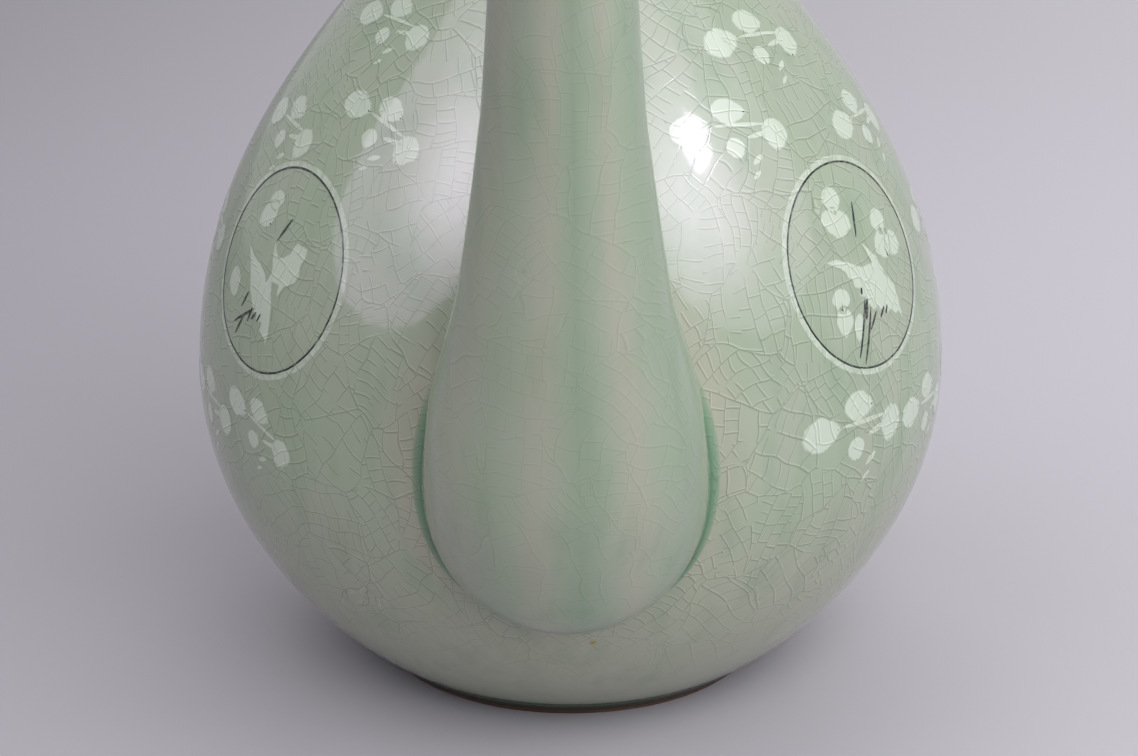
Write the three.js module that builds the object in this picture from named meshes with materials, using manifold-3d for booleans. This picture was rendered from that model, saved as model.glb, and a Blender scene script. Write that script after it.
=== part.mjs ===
// Double gourd ewer in glazed stoneware: two thrown bulbs on a turned foot, a luted spout and handle, and a loose lid.
// Millimetres, +Z up, spout towards -Y. The foot stands on Z = 0 and the ewer's box is centred on X and Y.
import * as THREE from "three";
import { mergeVertices } from "three/addons/utils/BufferGeometryUtils.js";
import Module from "manifold-3d";

const wasm = await Module();
wasm.setup();

// Foot ring, turned from the base.
const FOOT_RADIUS = 39;
const FOOT_HEIGHT = 3;
const FOOT_RING_WIDTH = 6.5;
const FOOT_DRAFT = 1.2;

// Lower bulb. Its base overhangs the foot by a ledge. A fullness is how far a curve holds its direction.
const BASE_LEDGE = 1;
const BASE_SLOPE = THREE.MathUtils.degToRad(33);
const BASE_FULLNESS = 21;
const BELLY_RADIUS = 75;
const BELLY_RISE = 58;
const BELLY_FULLNESS_DOWN = 24;
const BELLY_FULLNESS_UP = 60;
const WAIST_RADIUS = 22.5;
const WAIST_RISE = 112;
const WAIST_FULLNESS_DOWN = 28;
const BULB_WALL = 5;
const FLOOR_THICKNESS = 7;

// Upper bulb. Each rise is measured from the height before it.
const WAIST_FULLNESS_UP = 13;
const CROWN_RADIUS = 37;
const CROWN_RISE = 39;
const CROWN_FULLNESS_DOWN = 20;
const CROWN_FULLNESS_UP = 19;
const COLLAR_RISE = 34;
const COLLAR_SLOPE = THREE.MathUtils.degToRad(52);
const COLLAR_FULLNESS = 11;

// Mouth collar that the lid sits on.
const COLLAR_RADIUS = 15;
const COLLAR_WALL = 4;
const COLLAR_HEIGHT = 11;
const COLLAR_LIP = 1.6;

// Spout, a curved trunk: its base on the belly, its bulge and its tip, measured out from the belly and up from the base.
const SPOUT_BASE_RISE = 7;
const SPOUT_BASE_HALF_HEIGHT = 33;
const SPOUT_BASE_HALF_WIDTH = 24.5;
const SPOUT_BULGE = 20;
const SPOUT_REACH = 64;
const SPOUT_RISE = 146;
const SPOUT_TIP_RADIUS = 7.5;
const SPOUT_WALL = 3;
const POUR_HOLE_RADIUS = 9;

// Handle, a pulled strap from the crown to the shoulder.
const HANDLE_ARCH = 13;
const HANDLE_FOOT_RISE = 37;
const HANDLE_REACH = 29;
const HANDLE_WIDTH = 18;
const HANDLE_THICKNESS = 9.5;
const HANDLE_END_FLARE = 0.45;

// Lid: a domed cap with a locating flange and a bud knob.
const LID_SEAT_GAP = 0.3;
const LID_OVERHANG = 2.2;
const LID_EDGE = 3;
const LID_DOME = 8;
const FLANGE_CLEARANCE = 0.5;
const FLANGE_WALL = 2.4;
const FLANGE_DEPTH = 9;
const KNOB_SEAT_RADIUS = 4.5;
const KNOB_NECK_RADIUS = 2.4;
const KNOB_BUD_RADIUS = 6.2;
const KNOB_HEIGHT = 14;

// Cord loops, arches of round coil on the lid and on the handle.
const LOOP_RADIUS = 3.9;
const LOOP_THICKNESS = 2.8;

// Luted pieces keep this gap to the curved wall that they are fitted to.
const LUTING_GAP = 0.3;

// Facets.
const BULB_SIDES = 48;
const SMALL_SIDES = 32;
const TUBE_SIDES = 22;
const TUBE_RINGS = 18;
const LOOP_SIDES = 8;
const LOOP_STEPS = 10;
const WALL_STEPS = 8;
const INSIDE_STEPS = 5;

// Finishes.
const celadon = new THREE.MeshStandardMaterial({ color: 0x9db09c, roughness: 0.22, metalness: 0 });
const bareClay = new THREE.MeshStandardMaterial({ color: 0x6e4b38, roughness: 0.85, metalness: 0 });

// Heights and radii that follow from the sizes above.
const bellyHeight = FOOT_HEIGHT + BELLY_RISE;
const waistHeight = bellyHeight + WAIST_RISE;
const crownHeight = waistHeight + CROWN_RISE;
const collarHeight = crownHeight + COLLAR_RISE;
const rimHeight = collarHeight + COLLAR_HEIGHT;
const mouthRadius = COLLAR_RADIUS - COLLAR_WALL;
const spoutBase = bellyHeight + SPOUT_BASE_RISE;
const lidSeat = rimHeight + LID_SEAT_GAP;
const lidTop = lidSeat + LID_DOME;
const lidRadius = COLLAR_RADIUS + COLLAR_LIP + LID_OVERHANG;

// Solids from geometries and back.

function solidOf(geometry) {
  const bare = new THREE.BufferGeometry();
  bare.setAttribute("position", geometry.getAttribute("position"));
  bare.setIndex(geometry.index);
  const merged = mergeVertices(bare, 1e-3);
  const corners = merged.index.array;
  const kept = [];
  for (let i = 0; i < corners.length; i += 3) {
    const [a, b, c] = corners.slice(i, i + 3);
    if (a !== b && b !== c && c !== a) kept.push(a, b, c);
  }
  return new wasm.Manifold(
    new wasm.Mesh({
      numProp: 3,
      vertProperties: new Float32Array(merged.getAttribute("position").array),
      triVerts: new Uint32Array(kept),
    }),
  );
}

function geometryOf(solid) {
  const mesh = solid.getMesh();
  const geometry = new THREE.BufferGeometry();
  geometry.setAttribute("position", new THREE.BufferAttribute(mesh.vertProperties, 3));
  geometry.setIndex(new THREE.BufferAttribute(mesh.triVerts, 1));
  geometry.computeVertexNormals();
  return geometry;
}

// Turned pieces: a closed outline of (radius, height) points, spun about Z.

const at = (radius, height) => new THREE.Vector2(radius, height);

function turned(outline, sides) {
  const counterClockwise = THREE.ShapeUtils.area(outline) > 0;
  const profile = counterClockwise ? [...outline] : [...outline].reverse();
  const onAxis = profile[0].x === 0 && profile.at(-1).x === 0;
  if (!onAxis) profile.push(profile[0].clone());
  return solidOf(new THREE.LatheGeometry(profile, sides).rotateX(Math.PI / 2));
}

function curve(start, startHandle, endHandle, end, steps) {
  return new THREE.CubicBezierCurve(start, startHandle, endHandle, end).getPoints(steps);
}

// A line moved along its own normals, outwards for a line that climbs an outer wall.
function offset(line, distance) {
  return line.map((point, i) => {
    const before = line[Math.max(i - 1, 0)];
    const after = line[Math.min(i + 1, line.length - 1)];
    const along = after.clone().sub(before).normalize();
    return at(point.x + along.y * distance, point.y - along.x * distance);
  });
}

// Wall lines of the two bulbs, from bottom to top, thinned to a number of steps for each curve.

const belly = at(BELLY_RADIUS, bellyHeight);
const waist = at(WAIST_RADIUS, waistHeight);
const crown = at(CROWN_RADIUS, crownHeight);

function lowerWall(steps) {
  const base = at(FOOT_RADIUS + FOOT_DRAFT + BASE_LEDGE, FOOT_HEIGHT);
  const baseHandle = at(
    base.x + BASE_FULLNESS * Math.cos(BASE_SLOPE),
    base.y + BASE_FULLNESS * Math.sin(BASE_SLOPE),
  );
  const bellyLow = at(belly.x, belly.y - BELLY_FULLNESS_DOWN);
  const bellyHigh = at(belly.x, belly.y + BELLY_FULLNESS_UP);
  const waistLow = at(waist.x, waist.y - WAIST_FULLNESS_DOWN);
  const toBelly = curve(base, baseHandle, bellyLow, belly, steps);
  const toWaist = curve(belly, bellyHigh, waistLow, waist, steps);
  return [...toBelly, ...toWaist.slice(1)];
}

function upperWall(steps) {
  const top = at(COLLAR_RADIUS, collarHeight);
  const topHandle = at(
    top.x + COLLAR_FULLNESS * Math.sin(COLLAR_SLOPE),
    top.y - COLLAR_FULLNESS * Math.cos(COLLAR_SLOPE),
  );
  const waistHigh = at(waist.x, waist.y + WAIST_FULLNESS_UP);
  const crownLow = at(crown.x, crown.y - CROWN_FULLNESS_DOWN);
  const crownHigh = at(crown.x, crown.y + CROWN_FULLNESS_UP);
  const toCrown = curve(waist, waistHigh, crownLow, crown, steps);
  const toCollar = curve(crown, crownHigh, topHandle, top, steps);
  return [...toCrown, ...toCollar.slice(1)];
}

// The solid that a wall line encloses, grown by the luting gap, which trims what is fitted to it.
function fittingForm(wall) {
  const grown = offset(wall, LUTING_GAP);
  const bottom = grown[0].y - LUTING_GAP;
  const top = grown.at(-1).y + LUTING_GAP;
  const outline = [
    at(0, bottom),
    at(grown[0].x, bottom),
    ...grown,
    at(grown.at(-1).x, top),
    at(0, top),
  ];
  return turned(outline, BULB_SIDES);
}

// Radius of the lower bulb's wall at a height above the belly.
function shoulderRadius(height) {
  const wall = lowerWall(WALL_STEPS);
  const above = wall.findIndex((point) => point.y > height);
  const low = wall[above - 1];
  const high = wall[above];
  return THREE.MathUtils.mapLinear(height, low.y, high.y, low.x, high.x);
}

// Lofted pieces: rings of points, closed by a flat fan at each end.

function loft(rings) {
  const sides = rings[0].length;
  const centre = (ring) =>
    ring.reduce((sum, point) => sum.add(point), new THREE.Vector3()).divideScalar(sides);
  const points = [...rings.flat(), centre(rings[0]), centre(rings.at(-1))];
  const firstCentre = points.length - 2;
  const lastCentre = points.length - 1;
  const lastRing = (rings.length - 1) * sides;
  const corners = [];
  for (let side = 0; side < sides; side++) {
    const next = (side + 1) % sides;
    for (let ring = 0; ring < rings.length - 1; ring++) {
      const low = ring * sides;
      const high = low + sides;
      corners.push(low + side, low + next, high + next);
      corners.push(low + side, high + next, high + side);
    }
    corners.push(firstCentre, next, side);
    corners.push(lastCentre, lastRing + side, lastRing + next);
  }
  const geometry = new THREE.BufferGeometry().setFromPoints(points);
  geometry.setIndex(corners);
  return solidOf(geometry);
}

// An ellipse about a centre, across X and along a direction in the plane of the spout and handle.
function ellipse(centre, halfWidth, halfDepth, depthWay) {
  return Array.from({ length: TUBE_SIDES }, (_, side) => {
    const turn = (2 * Math.PI * side) / TUBE_SIDES;
    return new THREE.Vector3(halfWidth * Math.cos(turn), 0, 0)
      .addScaledVector(depthWay, halfDepth * Math.sin(turn))
      .add(centre);
  });
}

const inPlane = (y, z) => new THREE.Vector3(0, y, z);

// Foot and bulbs.

function footRing() {
  const inner = FOOT_RADIUS - FOOT_RING_WIDTH;
  const outline = [
    at(inner, 0),
    at(FOOT_RADIUS, 0),
    at(FOOT_RADIUS + FOOT_DRAFT, FOOT_HEIGHT),
    at(inner - FOOT_DRAFT, FOOT_HEIGHT),
  ];
  return turned(outline, BULB_SIDES);
}

function lowerBulb() {
  const floor = FOOT_HEIGHT + FLOOR_THICKNESS;
  const inside = offset(lowerWall(INSIDE_STEPS), -BULB_WALL).filter((point) => point.y > floor + BULB_WALL);
  const floorEdge = at(inside[0].x - (inside[0].y - floor), floor);
  const outline = [
    at(0, FOOT_HEIGHT),
    ...lowerWall(WALL_STEPS),
    ...inside.reverse(),
    floorEdge,
    at(0, floor),
  ];
  const drill = new THREE.CylinderGeometry(POUR_HOLE_RADIUS, POUR_HOLE_RADIUS, BELLY_RADIUS, TUBE_SIDES);
  drill.translate(0, -BELLY_RADIUS, spoutBase);
  return turned(outline, BULB_SIDES).subtract(solidOf(drill));
}

function upperBulb() {
  const inside = offset(upperWall(INSIDE_STEPS), -BULB_WALL);
  inside[inside.length - 1] = at(mouthRadius, collarHeight);
  return turned([...upperWall(WALL_STEPS), ...inside.reverse()], BULB_SIDES);
}

function mouthCollar() {
  const lipRadius = COLLAR_RADIUS + COLLAR_LIP;
  const outline = [
    at(mouthRadius, collarHeight),
    at(COLLAR_RADIUS, collarHeight),
    at(COLLAR_RADIUS - COLLAR_LIP / 2, collarHeight + COLLAR_HEIGHT / 3),
    at(lipRadius, rimHeight - 2 * COLLAR_LIP),
    at(lipRadius, rimHeight - COLLAR_LIP / 2),
    at(lipRadius - COLLAR_LIP / 2, rimHeight),
    at(mouthRadius, rimHeight),
  ];
  return turned(outline, SMALL_SIDES);
}

// Spout.

// Stations from inside the wall to the tip: the trunk's outer edge, its inner edge and its half width.
function spoutStations() {
  const width = SPOUT_BASE_HALF_WIDTH;
  const height = SPOUT_BASE_HALF_HEIGHT;
  const tip = SPOUT_TIP_RADIUS;
  const edge = (reach, rise) => inPlane(-BELLY_RADIUS - reach, spoutBase + rise);
  const out = (share) => SPOUT_BULGE + share * (SPOUT_REACH - SPOUT_BULGE);
  const up = (share) => share * SPOUT_RISE;
  return [
    { outer: edge(-width, -height), inner: edge(-1.5 * width, 0.3 * height), half: width },
    { outer: edge(0.1 * SPOUT_BULGE, -height), inner: edge(-0.7 * width, 0.5 * height), half: 1.05 * width },
    { outer: edge(0.92 * SPOUT_BULGE, -0.42 * height), inner: edge(-0.15 * SPOUT_BULGE, height), half: 0.97 * width },
    { outer: edge(out(0.18), up(0.15)), inner: edge(0.2 * SPOUT_BULGE, 1.36 * height), half: 0.74 * width },
    { outer: edge(out(0.35), up(0.44)), inner: edge(out(-0.12), up(0.51)), half: 0.53 * width },
    { outer: edge(out(0.57), up(0.73)), inner: edge(out(0.15), up(0.79)), half: 0.41 * width },
    { outer: edge(SPOUT_REACH, up(1) - 0.5 * tip), inner: edge(SPOUT_REACH - 1.73 * tip, up(1) + 0.5 * tip), half: tip },
  ];
}

// Rings of the trunk's surface, drawn in by a wall for its bore.
function spoutRings(drawIn) {
  const stations = spoutStations();
  const outerEdge = new THREE.CatmullRomCurve3(stations.map((station) => station.outer));
  const innerEdge = new THREE.CatmullRomCurve3(stations.map((station) => station.inner));
  const halfWidth = new THREE.CatmullRomCurve3(stations.map((station) => new THREE.Vector3(station.half, 0, 0)));
  return Array.from({ length: TUBE_RINGS + 1 }, (_, ring) => {
    const share = ring / TUBE_RINGS;
    const outer = outerEdge.getPoint(share);
    const across = innerEdge.getPoint(share).sub(outer);
    const centre = outer.clone().addScaledVector(across, 0.5);
    const halfDepth = across.length() / 2;
    return ellipse(centre, halfWidth.getPoint(share).x - drawIn, halfDepth - drawIn, across.normalize());
  });
}

function spout() {
  const bore = spoutRings(SPOUT_WALL);
  const last = bore.at(-1);
  const beyondTip = last[0].clone().sub(bore.at(-2)[0]).setX(0).setLength(SPOUT_WALL);
  bore.push(last.map((point) => point.clone().add(beyondTip)));
  return loft(spoutRings(0)).subtract(loft(bore)).subtract(fittingForm(lowerWall(WALL_STEPS)));
}

// Handle.

function handlePath() {
  const footHeight = bellyHeight + HANDLE_FOOT_RISE;
  const reach = BELLY_RADIUS + HANDLE_REACH;
  const bend = reach - CROWN_RADIUS;
  const sunk = HANDLE_THICKNESS;
  return new THREE.CatmullRomCurve3([
    inPlane(CROWN_RADIUS - sunk, crownHeight - HANDLE_ARCH / 3),
    inPlane(CROWN_RADIUS + bend * 0.24, crownHeight + HANDLE_ARCH * 0.8),
    inPlane(reach - bend * 0.25, crownHeight + HANDLE_ARCH * 0.5),
    inPlane(reach, (crownHeight + footHeight) / 2 + HANDLE_ARCH),
    inPlane(reach - bend * 0.1, footHeight + HANDLE_ARCH * 2.2),
    inPlane(reach - bend * 0.36, footHeight + HANDLE_ARCH * 0.55),
    inPlane(shoulderRadius(footHeight) - sunk, footHeight - HANDLE_ARCH / 2),
  ]);
}

// The strap before it is fitted, grown by a gap for the loop that stands on it.
function handleStrap(gap) {
  const path = handlePath();
  const side = new THREE.Vector3(1, 0, 0);
  const rings = Array.from({ length: TUBE_RINGS + 1 }, (_, ring) => {
    const share = ring / TUBE_RINGS;
    const flare = 1 + HANDLE_END_FLARE * Math.abs(2 * share - 1) ** 4;
    const inward = path.getTangent(share).cross(side).normalize();
    const halfWidth = (HANDLE_WIDTH / 2) * flare + gap;
    const halfThickness = (HANDLE_THICKNESS / 2) * flare + gap;
    return ellipse(path.getPoint(share), halfWidth, halfThickness, inward);
  });
  return loft(rings);
}

function handle() {
  return handleStrap(0)
    .subtract(fittingForm(lowerWall(WALL_STEPS)))
    .subtract(fittingForm(upperWall(WALL_STEPS)));
}

// Lid, from its seat upwards.

function domeLine() {
  const edge = at(lidRadius, lidSeat + LID_EDGE);
  const edgeHandle = at(lidRadius - LID_OVERHANG / 2, lidSeat + LID_DOME * 0.75);
  const topHandle = at((lidRadius + KNOB_SEAT_RADIUS) / 2, lidTop);
  return curve(edge, edgeHandle, topHandle, at(KNOB_SEAT_RADIUS, lidTop), WALL_STEPS);
}

function lidCap() {
  const outline = [at(0, lidSeat), at(lidRadius - LID_EDGE / 3, lidSeat), ...domeLine(), at(0, lidTop)];
  return turned(outline, SMALL_SIDES);
}

function lidFlange() {
  const outer = mouthRadius - FLANGE_CLEARANCE;
  const inner = outer - FLANGE_WALL;
  const bottom = lidSeat - FLANGE_DEPTH;
  return turned([at(inner, bottom), at(outer, bottom), at(outer, lidSeat), at(inner, lidSeat)], SMALL_SIDES);
}

function lidKnob() {
  const up = (share) => lidTop + share * KNOB_HEIGHT;
  const widest = at(KNOB_BUD_RADIUS, up(0.55));
  const neckHandle = at(KNOB_NECK_RADIUS, up(0.2));
  const budHandle = at(KNOB_BUD_RADIUS, up(0.2));
  const toBud = curve(at(KNOB_SEAT_RADIUS, lidTop), neckHandle, budHandle, widest, INSIDE_STEPS);
  const shoulderHandle = at(KNOB_BUD_RADIUS, up(0.85));
  const pointHandle = at(KNOB_NECK_RADIUS / 2, up(0.8));
  const toPoint = curve(widest, shoulderHandle, pointHandle, at(0, up(1)), INSIDE_STEPS);
  return turned([at(0, lidTop), ...toBud, ...toPoint.slice(1)], TUBE_SIDES);
}

// Cord loops.

// A coil bent to an arch over a point of the spout's plane, with its legs sunk to be trimmed.
function loopArch(foot) {
  const section = new THREE.Shape().absarc(0, 0, LOOP_THICKNESS / 2, 0, 2 * Math.PI);
  const arc = Array.from({ length: LOOP_STEPS + 1 }, (_, step) => {
    const turn = (Math.PI * step) / LOOP_STEPS;
    return inPlane(LOOP_RADIUS * Math.cos(turn), LOOP_RADIUS * Math.sin(turn));
  });
  const sunk = 1.5 * LOOP_RADIUS;
  const path = new THREE.CatmullRomCurve3([inPlane(LOOP_RADIUS, -sunk), ...arc, inPlane(-LOOP_RADIUS, -sunk)]);
  const coil = new THREE.ExtrudeGeometry(section, {
    steps: 2 * LOOP_STEPS,
    curveSegments: LOOP_SIDES,
    extrudePath: path,
    bevelEnabled: false,
  });
  return solidOf(coil.translate(foot.x, foot.y, foot.z));
}

function lidLoop() {
  const dome = offset(domeLine(), LUTING_GAP);
  const bottom = lidSeat - LID_DOME;
  const form = [at(0, bottom), at(dome[0].x, bottom), ...dome, at(0, dome.at(-1).y)];
  const foot = inPlane((lidRadius + KNOB_SEAT_RADIUS) / 2, lidTop - LOOP_THICKNESS / 2);
  return loopArch(foot).subtract(turned(form, SMALL_SIDES));
}

function handleLoop() {
  const crest = handlePath()
    .getPoints(TUBE_RINGS)
    .reduce((highest, point) => (point.z > highest.z ? point : highest));
  const foot = inPlane(crest.y, crest.z + HANDLE_THICKNESS / 2);
  return loopArch(foot).subtract(handleStrap(LUTING_GAP));
}

// The assembly: the lid is a group of its own, since it lifts off.

function place(group, name, solid, finish) {
  const mesh = new THREE.Mesh(geometryOf(solid), finish);
  mesh.name = name;
  group.add(mesh);
}

const vessel = new THREE.Group();
place(vessel, "foot_ring", footRing(), bareClay);
place(vessel, "lower_bulb", lowerBulb(), celadon);
place(vessel, "upper_bulb", upperBulb(), celadon);
place(vessel, "mouth_collar", mouthCollar(), celadon);
place(vessel, "spout", spout(), celadon);
place(vessel, "handle", handle(), celadon);
place(vessel, "handle_loop", handleLoop(), celadon);

const lid = new THREE.Group();
place(lid, "lid_cap", lidCap(), celadon);
place(lid, "lid_flange", lidFlange(), bareClay);
place(lid, "lid_knob", lidKnob(), celadon);
place(lid, "lid_loop", lidLoop(), celadon);

const ewer = new THREE.Group();
ewer.add(vessel, lid);

// The axis of the bulbs moves along Y until the ewer's box is centred.
const box = new THREE.Box3().setFromObject(ewer);
const axisShift = -(box.min.y + box.max.y) / 2;
vessel.position.y = axisShift;
lid.position.y = axisShift;

export default ewer;
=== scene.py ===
"""Looks of a double gourd ewer: crackled celadon glaze with inlaid slip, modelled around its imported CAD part.

Laid out as a Blender add-on and run as a script. Metres, +Z up, the spout towards -Y.
"""

import math

import bmesh
import bpy
import numpy as np
from mathutils import Matrix, Vector


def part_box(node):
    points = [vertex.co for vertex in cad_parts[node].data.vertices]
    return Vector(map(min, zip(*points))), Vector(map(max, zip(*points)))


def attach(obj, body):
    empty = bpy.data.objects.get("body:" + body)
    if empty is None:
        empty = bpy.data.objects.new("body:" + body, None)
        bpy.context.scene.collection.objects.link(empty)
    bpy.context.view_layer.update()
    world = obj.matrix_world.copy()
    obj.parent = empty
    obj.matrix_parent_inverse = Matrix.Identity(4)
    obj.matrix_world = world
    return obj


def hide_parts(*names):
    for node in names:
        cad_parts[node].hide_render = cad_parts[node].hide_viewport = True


bl_info = {
    "name": "Double Gourd Ewer",
    "version": (1, 0, 0),
    "blender": (4, 5, 0),
    "location": "3D View > Sidebar > Ewer",
    "description": "Models a celadon ewer with slip inlay, piece by piece, around its CAD frame",
    "category": "Object",
}

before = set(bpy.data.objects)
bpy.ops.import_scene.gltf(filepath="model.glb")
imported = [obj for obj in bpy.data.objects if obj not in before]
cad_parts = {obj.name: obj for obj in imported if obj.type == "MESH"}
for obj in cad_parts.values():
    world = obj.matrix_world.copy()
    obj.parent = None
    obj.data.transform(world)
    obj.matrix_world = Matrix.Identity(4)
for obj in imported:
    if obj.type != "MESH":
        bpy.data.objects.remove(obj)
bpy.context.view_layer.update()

MM = 0.001
foot_low, foot_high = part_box("foot_ring")
# The axis that the bulbs are thrown about, over the middle of the foot ring.
AXIS = Vector((0, (foot_low.y + foot_high.y) / 2, 0))
# Speck of iron in the glaze below the spout.
SPECK_PLACE = AXIS + Vector((4.9, -64.7, 27.9)) * MM

# Facets of the visible skins.
BULB_STEPS = 240
FORM_STEPS = 120
SMALL_STEPS = 72
WALL_STEPS = 44
INSIDE_STEPS = 10
TUBE_SIDES = 48
SPOUT_RINGS = 54
BORE_RINGS = 30
LIP_STEPS = 6
HANDLE_RINGS = 60
SMOOTH_ANGLE = math.radians(40)

# Lamps that light the tones: name, azimuth from the spout, elevation and spread in degrees, watts.
LAMPS = (
    ("front_fill", 27, 36, 25, 18.0),
    ("left_fill", -76, 52, 25, 6.6),
    ("right_key", 70, 40, 30, 9.8),
    ("back_top", 170, 50, 30, 8.5),
)
# Softboxes that only the gloss shows: name and angles as above, then the radiance at the rim and at the
# brightest place, and that place in radii from the middle, to the right and up as seen from behind it.
SOFTBOXES = (
    ("left_softbox", -60.5, 34.6, 24, 3.1, 10.4, 0.45, 0.4),
    ("right_softbox", 62, 36.4, 26.8, 2.2, 10.6, -0.4, 0.15),
    ("right_bulb", 58, 46, 4.2, 20.0, 30.0, 0.0, 0.0),
)
# Runs of glaze down the spout, deep ones and thin ones: place and width across it in half widths, and depth.
SPOUT_RUNS = {
    "pool_and_shade": ((0.88, 0.18, 0.2), (0.14, 0.14, 0.22), (-0.55, 0.12, 0.06)),
    "thin": ((0.5, 0.1, 0.55), (-0.18, 0.12, 0.5), (-0.8, 0.2, 0.3)),
}
# Share of the crackle that stays away, on the spout and on the glaze pooled in a crease.
SPOUT_CALM = 0.68
CREASE_CALM = 0.4
# Radiance of the room at the table's level and overhead, and of the background that is seen.
ROOM_LOW = 0.11
ROOM_HIGH = 0.6
ROOM_SEEN = 0.7


# Sizes and colours that a user may change


def length(name, description, millimetres):
    return bpy.props.FloatProperty(
        name=name, description=description, default=millimetres * MM, precision=4, unit="LENGTH"
    )


def angle(name, description, degrees):
    return bpy.props.FloatProperty(
        name=name, description=description, default=math.radians(degrees), subtype="ANGLE"
    )


def linear(hex_colour):
    """Linear RGBA of an sRGB hex colour."""
    channels = [int(hex_colour[i : i + 2], 16) / 255 for i in (0, 2, 4)]
    return [c / 12.92 if c <= 0.04045 else ((c + 0.055) / 1.055) ** 2.4 for c in channels] + [1.0]


def colour(name, description, hex_colour):
    return bpy.props.FloatVectorProperty(
        name=name, description=description, default=linear(hex_colour), size=4, min=0, max=1, subtype="COLOR"
    )


class EwerSizes(bpy.types.PropertyGroup):
    """Sizes of the ewer's pieces. A fullness is how far a wall's curve holds its direction."""

    foot_radius: length("Foot radius", "Outer radius of the foot ring on the table", 39)
    foot_height: length("Foot height", "Height of the foot ring", 3)
    foot_width: length("Foot width", "Width of the ring that the ewer stands on", 6.5)
    foot_draft: length("Foot draft", "How far the foot's sides lean out", 1.2)
    base_ledge: length("Base ledge", "How far the glazed base overhangs the foot", 1)
    base_slope: angle("Base slope", "Rise of the wall where it leaves the foot", 33)
    base_fullness: length("Base fullness", "Fullness of the wall above the foot", 21)
    belly_radius: length("Belly radius", "Widest radius of the lower bulb", 74.8)
    belly_rise: length("Belly rise", "Height of the belly above the foot", 58)
    belly_fullness_down: length("Belly fullness down", "Fullness below the belly", 24)
    belly_fullness_up: length("Belly fullness up", "Fullness above the belly", 60)
    waist_radius: length("Waist radius", "Radius between the two bulbs", 22.5)
    waist_rise: length("Waist rise", "Height of the waist above the belly", 112)
    waist_fullness_down: length("Waist fullness down", "Fullness below the waist", 28)
    waist_fullness_up: length("Waist fullness up", "Fullness above the waist", 13)
    crown_radius: length("Crown radius", "Widest radius of the upper bulb", 37)
    crown_rise: length("Crown rise", "Height of the crown above the waist", 39)
    crown_fullness_down: length("Crown fullness down", "Fullness below the crown", 20)
    crown_fullness_up: length("Crown fullness up", "Fullness above the crown", 19)
    collar_rise: length("Collar rise", "Height of the collar's base above the crown", 34)
    collar_slope: angle("Collar slope", "Slope of the wall where it meets the collar", 52)
    collar_fullness: length("Collar fullness", "Fullness below the collar", 11)
    collar_radius: length("Collar radius", "Outer radius of the collar's base", 15)
    collar_wall: length("Collar wall", "Wall of the mouth's collar", 4)
    collar_height: length("Collar height", "Height of the collar", 11)
    collar_lip: length("Collar lip", "How far the collar's lip stands out", 1.6)
    bulb_wall: length("Bulb wall", "Wall of the bulbs", 5)
    floor_thickness: length("Floor thickness", "Thickness of the lower bulb's floor", 7)
    spout_base_rise: length("Spout base rise", "Height of the spout's base above the belly", 7)
    spout_half_height: length("Spout half height", "Half the height of the spout's base", 33)
    spout_half_width: length("Spout half width", "Half the width of the spout's base", 24.5)
    spout_bulge: length("Spout bulge", "How far the spout's base stands out", 20)
    spout_reach: length("Spout reach", "How far the tip stands out from the belly", 64)
    spout_rise: length("Spout rise", "Height of the tip above the spout's base", 146)
    spout_tip: length("Spout tip", "Outer radius of the spout's tip", 7.5)
    spout_wall: length("Spout wall", "Wall of the spout", 3)
    pour_hole: length("Pour hole", "Radius of the hole behind the spout", 9)
    handle_arch: length("Handle arch", "How far the handle arches over the crown", 13)
    handle_foot_rise: length("Handle foot rise", "Height of the handle's foot above the belly", 37)
    handle_reach: length("Handle reach", "How far the handle stands out from the belly", 28.7)
    handle_width: length("Handle width", "Width of the handle's strap", 18)
    handle_thickness: length("Handle thickness", "Thickness of the handle's strap", 9.5)
    lid_gap: length("Lid gap", "Gap under the lid", 0.3)
    lid_overhang: length("Lid overhang", "How far the lid stands over the lip", 2.2)
    lid_edge: length("Lid edge", "Height of the lid's edge", 3)
    lid_dome: length("Lid dome", "Height of the lid's dome", 8)
    flange_clearance: length("Flange clearance", "Gap round the lid's flange", 0.5)
    flange_wall: length("Flange wall", "Wall of the lid's flange", 2.4)
    flange_depth: length("Flange depth", "Depth of the lid's flange", 9)
    knob_seat: length("Knob seat", "Radius of the knob where it meets the lid", 4.5)
    knob_neck: length("Knob neck", "Radius of the knob's neck", 2.4)
    knob_bud: length("Knob bud", "Widest radius of the knob", 6.2)
    knob_height: length("Knob height", "Height of the knob", 14)
    loop_radius: length("Loop radius", "Radius of the cord loops", 3.9)
    loop_thickness: length("Loop thickness", "Thickness of the loops' coil", 2.8)
    glaze_pool: length("Glaze pool", "Width of the glaze that pools in a crease", 3.5)
    roundel_radius: length("Roundel radius", "Radius of the inlaid roundels' black line", 19.6)
    crackle_cell: length("Crackle cell", "Width of a crackle cell", 2.5)


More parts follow.
